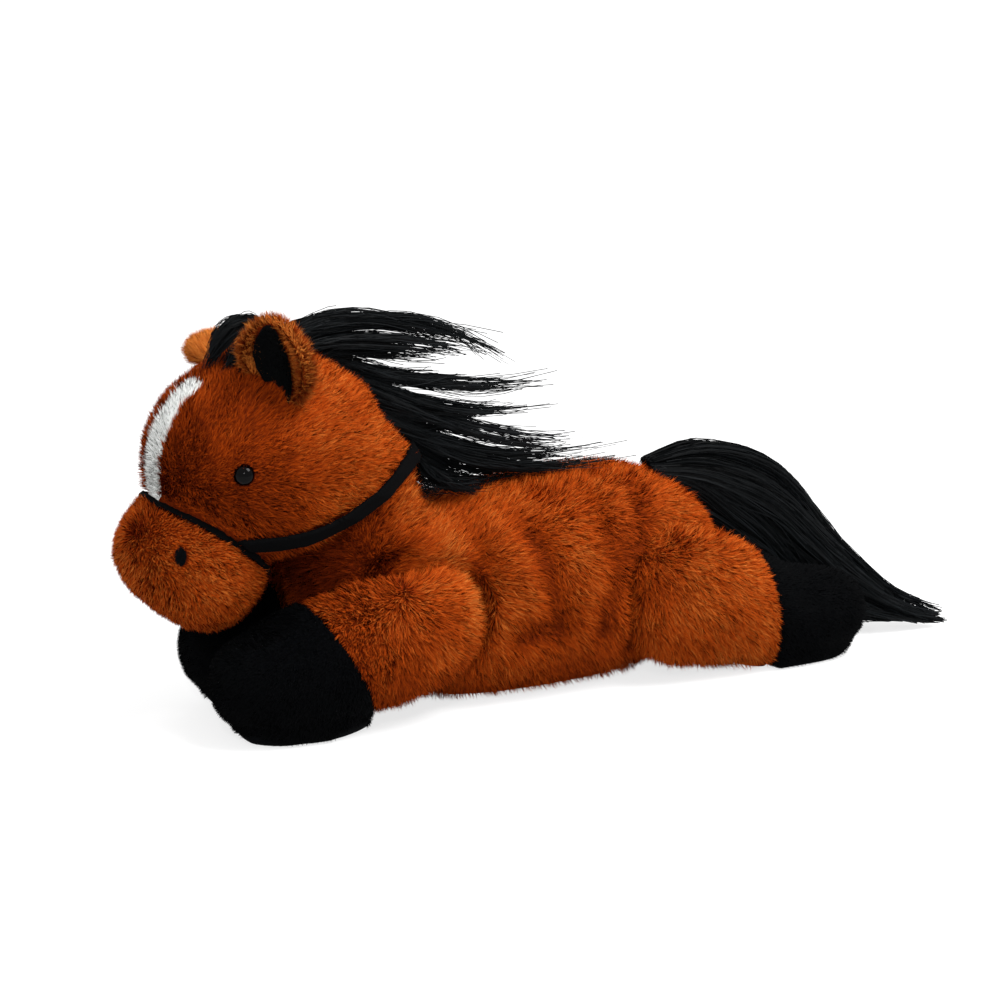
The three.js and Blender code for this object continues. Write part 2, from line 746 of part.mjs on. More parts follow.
// One lock of the mane, blown back from its root to a tip behind the neck
function maneLock({ rootShare, tipShares }) {
  const [aside, back, rise] = scaled(tipShares, maneReach);
  const root = crest(rootShare, 0);
  const tip = new THREE.Vector3(aside, back - napeReach, neckSeamHeight + rise);
  const lifts = scaled(lockLiftShares, lockHalfHeight);
  const steps = spread(lifts.length, 0, 1);
  return lock(steps.map((t, i) => root.clone().lerp(tip, t).addScaledVector(up, lifts[i])));
}

function addHeadHair() {
  const head = stuffed(headForm(), sewnGap);
  const ridge = lock(spread(ridgePlaces, ridgeFrontShare, ridgeBackShare).map((share) => crest(share, 0)));
  const mane = join(ridge, ...maneLocks.map(maneLock));
  add('forelock', forelock(0).subtract(head), 'hair');
  add('mane', mane.subtract(head).subtract(cheekStrap(sewnGap)).subtract(forelock(sewnGap)), 'hair');
}

function addTail() {
  const tail = stuffed({
    spine: tailShares.map(([aside, back, height]) => (
      new THREE.Vector3(aside * tailSwing, tailRootReach + back * tailReach, height * tailRootHeight)
    )),
    halfWidths: scaled(tailWidthShares, tailHalfWidth),
    halfHeights: scaled(tailHeightShares, tailHalfHeight),
    ...tailShape,
  });
  const joint = new THREE.Vector3(0, hindLeg.jointY, hindLeg.jointHeight);
  const leg = swept(stuffed(legForm(hindLeg), tailClearance), joint, sideways, [0, hindLegRaise]);
  add('tail', tail.subtract(bodyForm(sewnGap)).subtract(bothSides(leg)).intersect(aboveFloor), 'hair');
}

const eyeSeat = eyeSeatOn(stuffed(headForm()));
addBody();
addLeg('left_front', frontLeg, 1);
addLeg('right_front', frontLeg, -1);
addLeg('left_hind', hindLeg, 1);
addLeg('right_hind', hindLeg, -1);
addHead(eyeSeat);
addMuzzle();
addEyes(eyeSeat);
addNostrils();
addEar('left', leftEar);
addEar('right', rightEar);
add('noseband', noseband(0), 'ribbon');
add('cheek_strap', cheekStrap(0).subtract(stuffed(muzzleForm(), ribbonThickness + sewnGap * 2)), 'ribbon');
addHeadHair();
addTail();

export default horse;
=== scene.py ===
"""The looks of a stuffed plush horse that lies on its belly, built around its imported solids."""

import json
import math
import random
from collections import namedtuple

import bmesh
import bpy
import numpy as np
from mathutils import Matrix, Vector, noise
from mathutils.bvhtree import BVHTree

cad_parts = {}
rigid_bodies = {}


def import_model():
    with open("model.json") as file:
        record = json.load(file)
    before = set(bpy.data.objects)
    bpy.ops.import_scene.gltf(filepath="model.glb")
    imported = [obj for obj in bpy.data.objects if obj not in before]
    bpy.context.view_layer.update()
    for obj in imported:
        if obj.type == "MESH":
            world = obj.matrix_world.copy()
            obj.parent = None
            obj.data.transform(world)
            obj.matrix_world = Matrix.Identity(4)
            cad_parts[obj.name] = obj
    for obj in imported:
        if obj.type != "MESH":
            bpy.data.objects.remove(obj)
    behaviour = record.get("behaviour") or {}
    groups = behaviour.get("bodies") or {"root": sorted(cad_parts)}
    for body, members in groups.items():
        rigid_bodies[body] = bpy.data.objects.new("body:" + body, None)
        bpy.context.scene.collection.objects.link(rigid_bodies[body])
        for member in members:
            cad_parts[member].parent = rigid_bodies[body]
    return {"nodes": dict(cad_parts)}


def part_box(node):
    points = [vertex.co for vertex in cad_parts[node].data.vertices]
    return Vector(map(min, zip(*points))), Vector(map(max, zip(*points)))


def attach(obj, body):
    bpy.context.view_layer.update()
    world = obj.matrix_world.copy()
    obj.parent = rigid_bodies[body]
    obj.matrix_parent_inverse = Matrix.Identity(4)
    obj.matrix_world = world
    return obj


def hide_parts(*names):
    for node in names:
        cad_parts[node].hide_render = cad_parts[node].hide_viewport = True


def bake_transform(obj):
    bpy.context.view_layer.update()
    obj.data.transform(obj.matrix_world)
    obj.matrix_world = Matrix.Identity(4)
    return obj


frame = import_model()
NODES = frame["nodes"]
BOXES = {name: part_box(name) for name in NODES}
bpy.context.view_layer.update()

bl_info = {
    "name": "Plush horse",
    "version": (1, 0, 0),
    "blender": (4, 5, 0),
    "location": "View3D > Sidebar > Plush",
    "description": "Dresses the solids of a lying plush horse in pile, hair and ribbon",
    "category": "Object",
}

MM = 0.001
WELD = 0.01 * MM
SEED = 7
SIDES = ("left", "right")

# A strand's chart has its tint, with a little of the place across it, one way and the place along it the other
CHART = "OFBake"
TINT_SHARE = 0.98
ACROSS_SHARE = 0.01

# The display curve of colours
FULL_VALUE = 255
CURVE_FOOT = 0.04045
FOOT_SLOPE = 12.92
CURVE_LIFT = 0.055
CURVE_POWER = 2.4

# The cloth's backing lies under the pile, whose tips make the outline of the solids
LONG_BACKING = 3.8 * MM
MUZZLE_BACKING = 0.8 * LONG_BACKING
SHORT_BACKING = 1.8 * MM
EAR_BACKING = 1.3 * MM
LINING_BACKING = 0.4 * MM
SEAM_BACKING = 0.4 * MM
UNDER_SEWN = 5 * MM

# Where the cloth lies on the floor
FLOOR_CLEARANCE = 0.4 * MM
PRESSED_HEIGHT = 6.5 * MM
PRESSED_TOP = 11 * MM
FACING_DOWN = -0.45
DOWNRIGHT = -0.8

# How far the stuffing's pressure may swell the cloth
SWELL = 2 * MM
PRESSURE = 4
PRESSED_FRAMES = 16

# Folds of the body's cloth, with a low ridge on both sides of each
FOLD_DEPTH = 3 * MM
FOLD_WIDTH = 7 * MM
RIDGE_HEIGHT = 1 * MM
# A ridge's mark below 0 is this share of its height, which paints its pile paler: painted light
RIDGE_AWAY = 2 * FOLD_WIDTH
RIDGE_PAINTED_LIGHT = 0.2
FOLD_BEYOND = 24 * MM
FOLD_ON_SPINE = 0.4

# What keeps the pile off: a neighbour that touches the cloth, or a strap that lies over it
TOUCHING = 3.5 * MM
COVERED = 8 * MM
LOOK_FROM = 1 * MM
MUCH_NEARER = 1 * MM

# Ear linings are drawn in across the ear, and each ear's tip bends over
LINING_SHARES = (1.08, 0.68, 1)
EAR_BEND = {"left": Vector((0, -6.5, -3)) * MM, "right": Vector((0, 7, 4)) * MM}
EAR_LENGTH = 38 * MM

Skin = namedtuple("Skin", "name nodes body backing grid finish")


def paint(red, green, blue):
    """The colour that shows as these display values."""

    def linear(value):
        share = value / FULL_VALUE
        if share <= CURVE_FOOT:
            return share / FOOT_SLOPE
        return ((share + CURVE_LIFT) / (1 + CURVE_LIFT)) ** CURVE_POWER

    return (linear(red), linear(green), linear(blue), 1.0)


def grey(value):
    return (value, value, value, 1.0)


def shaded(colour, share):
    """A colour times a share, opaque."""
    return [part * share for part in colour[:3]] + [1]


WHITE = grey(1.0)


class PlushPile(bpy.types.PropertyGroup):
    """Sizes and colours of the pile."""

    length: bpy.props.FloatProperty(
        name="Length", description="Of a strand on the body", default=7.6 * MM, unit="LENGTH"
    )
    width: bpy.props.FloatProperty(
        name="Width", description="Of a strand at its root", default=0.48 * MM, unit="LENGTH"
    )
    density: bpy.props.FloatProperty(
        name="Density", description="Strands on a square metre", default=3.2e6
    )
    # Deep ginger: the darkest strands' tint, and the colour of the backing, which is painted shade under the
    # pile
    ginger_deep: bpy.props.FloatVectorProperty(
        name="Deep ginger", description="Near the cloth",
        size=4, subtype="COLOR", default=paint(110, 36, 5),
    )
    ginger: bpy.props.FloatVectorProperty(
        name="Ginger", description="Of most strands",
        size=4, subtype="COLOR", default=paint(186, 74, 11),
    )
    ginger_light: bpy.props.FloatVectorProperty(
        name="Light ginger", description="Of the palest strands",
        size=4, subtype="COLOR", default=paint(226, 140, 62),
    )
    white: bpy.props.FloatVectorProperty(
        name="Blaze", description="Of the blaze",
        size=4, subtype="COLOR", default=paint(250, 251, 249),
    )


class PlushTrim(bpy.types.PropertyGroup):
    """Sizes and colours of the hair, the hooves and the halter."""

    hair: bpy.props.FloatVectorProperty(
        name="Hair", description="Of mane, forelock and tail",
        size=4, subtype="COLOR", default=paint(9, 12, 14),
    )
    hoof: bpy.props.FloatVectorProperty(
        name="Hoof", description="Of the hooves' pile and the nostrils' thread",
        size=4, subtype="COLOR", default=paint(3, 4, 6),
    )
    lining: bpy.props.FloatVectorProperty(
        name="Lining", description="Of the ear linings",
        size=4, subtype="COLOR", default=paint(7, 8, 9),
    )
    ribbon: bpy.props.FloatVectorProperty(
        name="Ribbon", description="Of the halter",
        size=4, subtype="COLOR", default=paint(5, 5, 6),
    )
    hair_width: bpy.props.FloatProperty(
        name="Hair width", description="Of one strand of hair", default=0.34 * MM, unit="LENGTH"
    )


def pile_sizes():
    return bpy.context.scene.plush_pile


def trim_sizes():
    return bpy.context.scene.plush_trim


# Node trees


def wire(tree, kind, inputs=None, **settings):
    """Adds a node with its settings, and fills its sockets with values or other nodes' outputs."""
    made = tree.nodes.new(kind)
    for name, value in settings.items():
        setattr(made, name, value)
    for socket, value in (inputs or {}).items():
        if isinstance(value, bpy.types.NodeSocket):
            tree.links.new(value, made.inputs[socket])
        else:
            made.inputs[socket].default_value = value
    return made


def number(tree, operation, first, second=0.0, third=0.0):
    return wire(tree, "ShaderNodeMath", {0: first, 1: second, 2: third}, operation=operation).outputs[0]


def arrow(tree, operation, first, second=(0, 0, 0)):
    made = wire(tree, "ShaderNodeVectorMath", {0: first, 1: second}, operation=operation)
    return made.outputs["Value" if operation == "DOT_PRODUCT" else "Vector"]


def stretched(tree, first, scale):
    made = wire(tree, "ShaderNodeVectorMath", {0: first, "Scale": scale}, operation="SCALE")
    return made.outputs["Vector"]


def geometry_tree(name):
    """A geometry tree, what comes into it and its last node."""
    tree = bpy.data.node_groups.new(name, "GeometryNodeTree")
    for way in ("INPUT", "OUTPUT"):
        tree.interface.new_socket("Geometry", in_out=way, socket_type="NodeSocketGeometry")
    return tree, wire(tree, "NodeGroupInput").outputs[0], wire(tree, "NodeGroupOutput")


def named(tree, name, kind="FLOAT"):
    """The values of a piece's own attribute."""
    return wire(tree, "GeometryNodeInputNamedAttribute", {"Name": name}, data_type=kind).outputs[0]


def stored(tree, geometry, name, value, kind="FLOAT", domain="POINT"):
    made = wire(
        tree,
        "GeometryNodeStoreNamedAttribute",
        {"Geometry": geometry, "Name": name, "Value": value},
        data_type=kind,
        domain=domain,
    )
    return made.outputs[0]


# Where a random value's node keeps its limits and its result, for each kind of value
CHANCE_SOCKETS = {"FLOAT": (2, 3, 1), "FLOAT_VECTOR": (0, 1, 0)}


def chance(tree, low, high, seed, kind="FLOAT"):
    """A random value for each element."""
    lowest, highest, result = CHANCE_SOCKETS[kind]
    inputs = {lowest: low, highest: high, "Seed": seed}
    return wire(tree, "FunctionNodeRandomValue", inputs, data_type=kind).outputs[result]


def random_way(tree, most, seed):
    """A random arrow for each element, with parts from -most to most."""
    return chance(tree, (-most,) * 3, (most,) * 3, seed, "FLOAT_VECTOR")


def charted(tree, geometry, tint, across, along):
    """Writes each strand's chart: its tint with a little of the place across it, and the place along."""
    aside = number(tree, "MULTIPLY", across, ACROSS_SHARE)
    column = number(tree, "ADD", number(tree, "MULTIPLY", tint, TINT_SHARE), aside)
    chart = wire(tree, "ShaderNodeCombineXYZ", {"X": column, "Y": along}).outputs[0]
    return stored(tree, geometry, CHART, chart, "FLOAT2", "CORNER")


# Meshes


def new_piece(name, form):
    """An object from a bmesh, which is then freed."""
    mesh = bpy.data.meshes.new(name)
    form.to_mesh(mesh)
    form.free()
    piece = bpy.data.objects.new(name, mesh)
    bpy.context.scene.collection.objects.link(piece)
    return piece


def joined_copy(name, nodes):
    """One merged mesh of several solids, as a new piece."""
    form = bmesh.new()
    for node in nodes:
        form.from_mesh(NODES[node].data)
    bmesh.ops.remove_doubles(form, verts=form.verts, dist=WELD)
    return new_piece(name, form)


def applied(piece):
    """Puts what the modifiers make into the piece's own mesh."""
    graph = bpy.context.evaluated_depsgraph_get()
    finished = bpy.data.meshes.new_from_object(piece.evaluated_get(graph), depsgraph=graph)
    former = piece.data
    piece.modifiers.clear()
    piece.data = finished
    bpy.data.meshes.remove(former)
    finished.name = piece.name
    return piece


def keep_outer_shell(piece):
    """Removes all shells but the largest one."""
    form = bmesh.new()
    form.from_mesh(piece.data)
    unseen = set(form.verts)
    shells = []
    while unseen:
        shell = {unseen.pop()}
        edge = list(shell)
        while edge:
            for link in edge.pop().link_edges:
                fresh = unseen.intersection(link.verts)
                unseen -= fresh
                shell |= fresh
                edge.extend(fresh)
        shells.append(shell)
    shells.sort(key=len)
    inner = [point for shell in shells[:-1] for point in shell]
    bmesh.ops.delete(form, geom=inner, context="VERTS")
    form.to_mesh(piece.data)
    form.free()


def even_copy(name, nodes, grid, smoothing):
    """The outer form of several solids, with even faces and soft edges, as a new piece."""
    piece = joined_copy(name, nodes)
    remesh = piece.modifiers.new("even faces", "REMESH")
    remesh.mode = "VOXEL"
    remesh.voxel_size = grid
    smooth = piece.modifiers.new("soft edges", "SMOOTH")
    smooth.factor = 0.5
    smooth.iterations = smoothing
    applied(piece)
    keep_outer_shell(piece)
    return piece


def places_of(mesh):
    flat = np.empty(len(mesh.vertices) * 3)
    mesh.vertices.foreach_get("co", flat)
    return flat.reshape(-1, 3)


def normals_of(mesh):
    flat = np.empty(len(mesh.vertices) * 3)
    mesh.vertex_normals.foreach_get("vector", flat)
    return flat.reshape(-1, 3)


def put_places(mesh, places):
    mesh.vertices.foreach_set("co", places.ravel())
    mesh.update()


def put_values(mesh, name, values, kind="FLOAT"):
    """Writes one value for each vertex."""
    layer = mesh.attributes.get(name) or mesh.attributes.new(name, kind, "POINT")
    layer.data.foreach_set("vector" if kind == "FLOAT_VECTOR" else "value", np.ravel(values))


def values_of(mesh, name):
    values = np.empty(len(mesh.vertices), dtype=np.float32)
    mesh.attributes[name].data.foreach_get("value", values)
    return values


def dress(piece, finish):
    """Gives a piece one material."""
    piece.data.materials.clear()
    piece.data.materials.append(finish)


def search_tree(meshes):
    """A tree for finding places on the faces of several meshes."""
    form = bmesh.new()
    for mesh in meshes:
        form.from_mesh(mesh)
    found = BVHTree.FromBMesh(form)
    form.free()
    return found


def solids_tree(nodes):
    return search_tree([NODES[node].data for node in nodes])


def spot(node, across, along, up):
    """The place at these shares of a solid's box."""
    low, high = BOXES[node]
    return Vector(low[i] + (high[i] - low[i]) * share for i, share in enumerate((across, along, up)))


def middle(node):
    low, high = BOXES[node]
    return (low + high) / 2


def ramped(values, start, end):
    """0 at start, growing evenly to 1 at end, and level beyond them."""
    return np.clip((values - start) / (end - start), 0, 1)


def bell(values, centre, width):
    """1 at the centre, falling softly to 0 within about twice the width."""
    return np.exp(-(((values - centre) / width) ** 2))


def near(places, centre, inner, outer):
    """0 within inner of a centre, growing to 1 at outer."""
    return ramped(np.linalg.norm(places - np.array(centre), axis=1), inner, outer)


def unit(ways):
    return ways / np.maximum(np.linalg.norm(ways, axis=1, keepdims=True), WELD)


# The skins: stuffed forms of cloth


def leg_skins(leg):
    stuffing = f"{leg}_leg_stuffing"
    return (
        Skin(f"{leg}_leg", (f"{leg}_leg_skin", stuffing), f"{leg}_leg", LONG_BACKING, 3 * MM, "ginger"),
        Skin(f"{leg}_hoof_cloth", (f"{leg}_hoof", stuffing), f"{leg}_leg", SHORT_BACKING, 3 * MM, "hoof"),
    )


def ear_skin(side):
    return Skin(f"{side}_ear", (f"{side}_ear_outer",), f"{side}_ear", EAR_BACKING, 1.2 * MM, "ginger")


def lining_skin(side):
    return Skin(
        f"{side}_ear_cloth", (f"{side}_ear_lining",), f"{side}_ear", LINING_BACKING, 0.7 * MM, "lining"
    )


LEGS = ("left_front", "right_front", "left_hind", "right_hind")
HEAD_NODES = ("head_skin", "forehead_blaze", "head_stuffing")
SKINS = (
    Skin("body", ("body_skin", "body_stuffing"), "body", LONG_BACKING, 4 * MM, "ginger"),
    Skin("head", (*HEAD_NODES, "muzzle_stuffing"), "head", LONG_BACKING, 3 * MM, "ginger"),
    Skin("muzzle", ("muzzle_skin", "muzzle_stuffing"), "head", MUZZLE_BACKING, 2.5 * MM, "ginger"),
    *(skin for leg in LEGS for skin in leg_skins(leg)),
    *(ear_skin(side) for side in SIDES),
    *(lining_skin(side) for side in SIDES),
)
CLOTH_SMOOTHING = 3


def narrowed(piece):
    """Draws an ear lining in from the sides, so that the rim of pile round it is as wide as it looks."""
    places = places_of(piece.data)
    centre = places.mean(axis=0)
    axes = np.linalg.svd(places - centre, full_matrices=False)[2]
    shares = (places - centre) @ axes.T * LINING_SHARES
    put_places(piece.data, centre + shares @ axes)


def bend_ear(piece, side):
    """Bends an ear over from its root."""
    root = spot(f"{side}_ear_outer", 0 if side == "left" else 1, 0.5, 0)
    places = places_of(piece.data)
    share = near(places, root, 0, EAR_LENGTH)[:, None]
    put_places(piece.data, places + share**2 * (3 - 2 * share) * np.array(EAR_BEND[side]))


def cloth_form(skin):
    """The closed form of a skin with its stuffing."""
    piece = even_copy(skin.name, skin.nodes, skin.grid, CLOTH_SMOOTHING)
    if skin.finish == "lining":
        narrowed(piece)
    if skin.body.endswith("ear"):
        bend_ear(piece, skin.name.split("_")[0])
    return piece


Around = namedtuple("Around", "own sewn apart")


def surroundings(pieces):
    """For each skin its own cloth, the cloths sewn to it over one stuffing, and the forms apart from it."""
    forms = [search_tree([piece.data]) for piece in pieces]
    cloths = [solids_tree([node for node in skin.nodes if "stuffing" not in node]) for skin in SKINS]
    around = {}
    for i, skin in enumerate(SKINS):
        shares = [bool(set(skin.nodes) & set(other.nodes)) for other in SKINS]
        sewn = [cloths[k] for k, shared in enumerate(shares) if shared and k != i]
        apart = [forms[k] for k, shared in enumerate(shares) if not shared]
        around[skin.name] = Around(cloths[i], sewn, apart)
    return around


def sewn_over(places, around):
    """1 where a cloth that is sewn on lies nearer than the skin's own cloth."""
    over = np.zeros(len(places))
    for i, place in enumerate(places.tolist()):
        own = around.own.find_nearest(place)[3] - MUCH_NEARER
        over[i] = any(shape.find_nearest(place)[3] < own for shape in around.sewn)
    return over


def open_cloth(places, normals, around, trims=()):
    """1 where the cloth lies open, 0 where another piece lies on it or it runs inside one."""
    shapes = [(shape, TOUCHING) for shape in (*around.sewn, *around.apart)]
    shapes += [(shape, COVERED) for shape in trims]
    free = 1 - sewn_over(places, around)
    for i, (place, normal) in enumerate(zip(places.tolist(), normals.tolist())):
        place, normal = Vector(place), Vector(normal)
        for shape, within in shapes:
            found, facing, _, distance = shape.ray_cast(place - normal * LOOK_FROM, normal)
            if found and (facing.dot(normal) > 0 or distance < within):
                free[i] = 0
                break
    return free


def blurred(mesh, values, rounds=2):
    """Evens out one value for each vertex with its neighbours' values."""
    ends = np.empty(len(mesh.edges) * 2, dtype=int)
    mesh.edges.foreach_get("vertices", ends)
    one, other = ends.reshape(-1, 2).T
    count = np.bincount(ends, minlength=len(values))
    for _ in range(rounds):
        total = np.bincount(one, values[other], len(values)) + np.bincount(other, values[one], len(values))
        values = (values + total / np.maximum(count, 1)) / 2
    return values


def sink_backing(piece, skin, around):
    """Draws the cloth in under the pile's outline, but not where it meets its neighbours."""
    places = places_of(piece.data)
    normals = normals_of(piece.data)
    free = blurred(piece.data, open_cloth(places, normals, around))
    depth = SEAM_BACKING + (skin.backing - SEAM_BACKING) * free
    depth += UNDER_SEWN * blurred(piece.data, sewn_over(places, around))
    put_places(piece.data, places - normals * depth[:, None])


def inflate(pieces):
    """Lets the stuffing's pressure round the cloth, no further than it may swell."""
    starts = [places_of(piece.data) for piece in pieces]
    for piece in pieces:
        cloth = piece.modifiers.new("stuffing", "CLOTH")
        cloth.settings.use_pressure = True
        cloth.settings.uniform_pressure_force = PRESSURE
        cloth.settings.effector_weights.gravity = 0
        cloth.collision_settings.use_collision = False
    for step in range(1, PRESSED_FRAMES + 1):
        bpy.context.scene.frame_set(step)
    for piece, start in zip(pieces, starts):
        applied(piece)
        moves = places_of(piece.data) - start
        lengths = np.linalg.norm(moves, axis=1, keepdims=True)
        moves *= np.minimum(1, SWELL / np.maximum(lengths, WELD))
        put_places(piece.data, start + moves)
    bpy.context.scene.frame_set(1)


# Folds of the body, as shares of the length and height of the body's box, from top to floor
BODY_FOLDS = (
    ((0.34, 0.84), (0.372, 0.71), (0.36, 0.5), (0.356, 0.386), (0.34, 0.3), (0.278, 0.21)),
    ((0.348, 0.936), (0.422, 0.81), (0.487, 0.69), (0.516, 0.566), (0.52, 0.417), (0.528, 0.338),
     (0.45, 0.307)),
    ((0.64, 0.9), (0.66, 0.7), (0.665, 0.5), (0.64, 0.3)),
    ((0.76, 0.8), (0.72, 0.58), (0.73, 0.2)),
)


def off_line(places, line):
    """How far places in a plane are from a line of points."""
    best = np.full(len(places), np.inf)
    for start, end in zip(line, line[1:]):
        start, end = np.array(start), np.array(end)
        step = end - start
        along = np.clip((places - start) @ step / (step @ step), 0, 1)
        best = np.minimum(best, np.linalg.norm(places - start - along[:, None] * step, axis=1))
    return best


def fold_depths(places):
    """How far each place sinks into the body's folds, and rises beside them."""
    low, high = BOXES["body_skin"]
    depths = np.zeros(len(places))
    for fold in BODY_FOLDS:
        line = [(low.y + (high.y - low.y) * y, low.z + (high.z - low.z) * z) for y, z in fold]
        off = off_line(places[:, 1:], line)
        depths += FOLD_DEPTH * bell(off, 0, FOLD_WIDTH)
        depths -= RIDGE_HEIGHT * bell(off, RIDGE_AWAY, FOLD_WIDTH)
    sideways = (np.abs(places[:, 0]) - FOLD_BEYOND) / FOLD_BEYOND
    return depths * np.clip(sideways + FOLD_ON_SPINE, 0, 1)


def fold_body(piece):
    """Presses the folds into the body's cloth, and writes how deep each place lies: below 0 on a ridge. From
    this the pile gets painted shade in the folds and painted light on the ridges.
    """
    places = places_of(piece.data)
    normals = normals_of(piece.data)
    depths = fold_depths(places)
    shares = np.where(depths < 0, RIDGE_PAINTED_LIGHT * depths / RIDGE_HEIGHT, depths / FOLD_DEPTH)
    put_values(piece.data, "fold", np.clip(shares, -1, 1))
    put_places(piece.data, places - normals * depths[:, None])


def press_on_floor(piece):
    """Lays the cloth's lowest faces on the floor, with a soft bend up to the rest."""
    places = places_of(piece.data)
    normals = normals_of(piece.data)
    down = ramped(normals[:, 2], FACING_DOWN, DOWNRIGHT)
    low = ramped(places[:, 2], PRESSED_TOP, PRESSED_HEIGHT)
    pressed = blurred(piece.data, down * low)
    places[:, 2] += (FLOOR_CLEARANCE - places[:, 2]) * pressed
    places[:, 2] = np.maximum(places[:, 2], FLOOR_CLEARANCE)
    put_places(piece.data, places)


def finish_skin(piece, skin):
    subdivision = piece.modifiers.new("smooth", "SUBSURF")
    subdivision.levels = 1
    subdivision.render_levels = 1
    applied(piece)
    if skin.name == "body":
        fold_body(piece)
    press_on_floor(piece)
    piece.data.shade_smooth()
    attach(piece, skin.body)
    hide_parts(*skin.nodes)


# The pile: which way it is combed, how long it is, how dark with its painted shade and light, and where none
# grows

NOSE_SPOT = (0.5, 0, 0.85)
SHOULDER_SPOT = (0.5, 0.19, 0.57)
SHOULDER_RADIUS = 46 * MM
# A painted highlight lies this far round the shoulder's middle, behind it, and softens over this width
SHOULDER_RIDGE = 38 * MM
SHOULDER_SOFTNESS = 9 * MM

# A comb's way at the start of a stretch of the body's length, and what is added by its end
Comb = namedtuple("Comb", "start end way more")
FRONT_COMB = Comb(0.12, -0.08, (0, -0.9, -0.4), (0, 0, 0))
HIND_COMB = Comb(0.85, 1.05, (0, 0.45, -0.85), (0, 0.45, 0.3))
BODY_COMB = Comb(0.15, 0.55, (0, -0.2, -0.9), (0, 0.75, 0.1))

# How long the pile is on a skin or with a finish, as a share of the body's
SKIN_REACH = {"head": 0.78, "muzzle": 0.6, "left_ear": 0.8, "right_ear": 0.8}
FINISH_REACH = {"ginger": 1.0, "hoof": 0.38, "lining": 0.16}
EYE_REACH = 0.65
EYE_CLEARING = (6 * MM, 14 * MM)
SEAM_REACH = 0.5
SEAM_FADE = 14 * MM
BLAZE_REACH = 0.5

# How much darker the pile is at a place, less than 0 is paler: mostly painted shade and painted light, with
# some plain darkening
# Painted light: the ears' pile paler all over, as if light came through its thin hair
EAR_PAINTED_LIGHT = -1.0
# A painted highlight on the ridge behind the shoulder
SHOULDER_PAINTED_HIGHLIGHT = 0.35
# The body and front legs a little darker all over
BODY_DARKENING = 0.15
# Painted shade on the body and front legs, darkest at the floor and gone at this height
FLOOR_PAINTED_SHADE = 0.35
FLOOR_PAINTED_SHADE_TOP = 60 * MM
# Painted shade in the body's folds, and painted light on the ridges beside them
FOLD_PAINTED_SHADE = 0.65
# A painted shadow of the head on the throat
THROAT_PAINTED_SHADOW = 1.1
THROAT_SPOT = (0.75, 0.02, 0.62)
THROAT_REACH = (22 * MM, 52 * MM)
# The face darker towards its middle
FACE_DARKENING = 0.5
FACE_SPOT = (0.5, 0.12, 0.5)
FACE_REACH = (48 * MM, 84 * MM)

# The blaze: where its pile starts, how wide it is at its ends and how much wider in its middle
BLAZE_TOP_SHARE = 0.12
BLAZE_END_WIDTH = 0.8
BLAZE_SWELL = 0.3

TRIMS = ("noseband", "cheek_strap", "left_eye", "right_eye", "left_nostril", "right_nostril")


def off_shoulder(places):
    """The way from the middle of the shoulder in the side view, and how far it is."""
    way = places - np.array(spot("body_skin", *SHOULDER_SPOT))
    way[:, 0] = 0
    return way, np.linalg.norm(way, axis=1)


def combed(comb, along):
    """A comb's way at each place along the body, and how far into its stretch the place is."""
    share = ramped(along, comb.start, comb.end)[:, None]
    return np.array(comb.way) + share * np.array(comb.more), share


def comb_of(name, places):
    """The way that the strands lean on each skin."""
    low, high = BOXES["body_skin"]
    along = (places[:, 1] - low.y) / (high.y - low.y)
    round_shoulder, off = off_shoulder(places)
    round_shoulder /= SHOULDER_RADIUS
    if name in ("head", "muzzle"):
        way = places - np.array(spot("muzzle_skin", *NOSE_SPOT))
    elif "ear" in name:
        way = places - np.array(middle("head_skin"))
    elif "front" in name:
        to_hoof, share = combed(FRONT_COMB, along)
        way = round_shoulder * (1 - share) + to_hoof * share
    elif "hind" in name:
        way, _ = combed(HIND_COMB, along)
    else:
        backward, _ = combed(BODY_COMB, along)
        beyond = ramped(off, SHOULDER_RADIUS, 2 * SHOULDER_RADIUS)[:, None]
        way = round_shoulder * (1 - beyond) + backward * beyond
    return unit(way)


def on_blaze(places):
    """1 on the blaze, 0 off it."""
    low, high = BOXES["forehead_blaze"]
    fall = np.clip((high.z - places[:, 2]) / (high.z - low.z), 0, 1)
    half = high.x * (BLAZE_END_WIDTH + BLAZE_SWELL * np.sin(fall * math.pi))
    inside = (places[:, 2] > low.z) & (fall > BLAZE_TOP_SHARE) & (places[:, 1] < high.y)
    return ((np.abs(places[:, 0]) < half) & inside).astype(float)


def reach_of(skin, places):
    """How long the strands are, as a share of the body's."""
    reach = np.full(len(places), SKIN_REACH.get(skin.name, FINISH_REACH[skin.finish]))
    if skin.name in ("head", "muzzle"):
        for side in SIDES:
            reach *= EYE_REACH + (1 - EYE_REACH) * near(places, middle(f"{side}_eye"), *EYE_CLEARING)
    if skin.name == "head":
        reach *= 1 - BLAZE_REACH * on_blaze(places)
    if skin.name.endswith("leg"):
        hoof = solids_tree((skin.name.replace("leg", "hoof"),))
        off_hoof = np.array([hoof.find_nearest(place)[3] for place in places.tolist()])
        reach *= SEAM_REACH + (1 - SEAM_REACH) * ramped(off_hoof, 0, SEAM_FADE)
    return reach


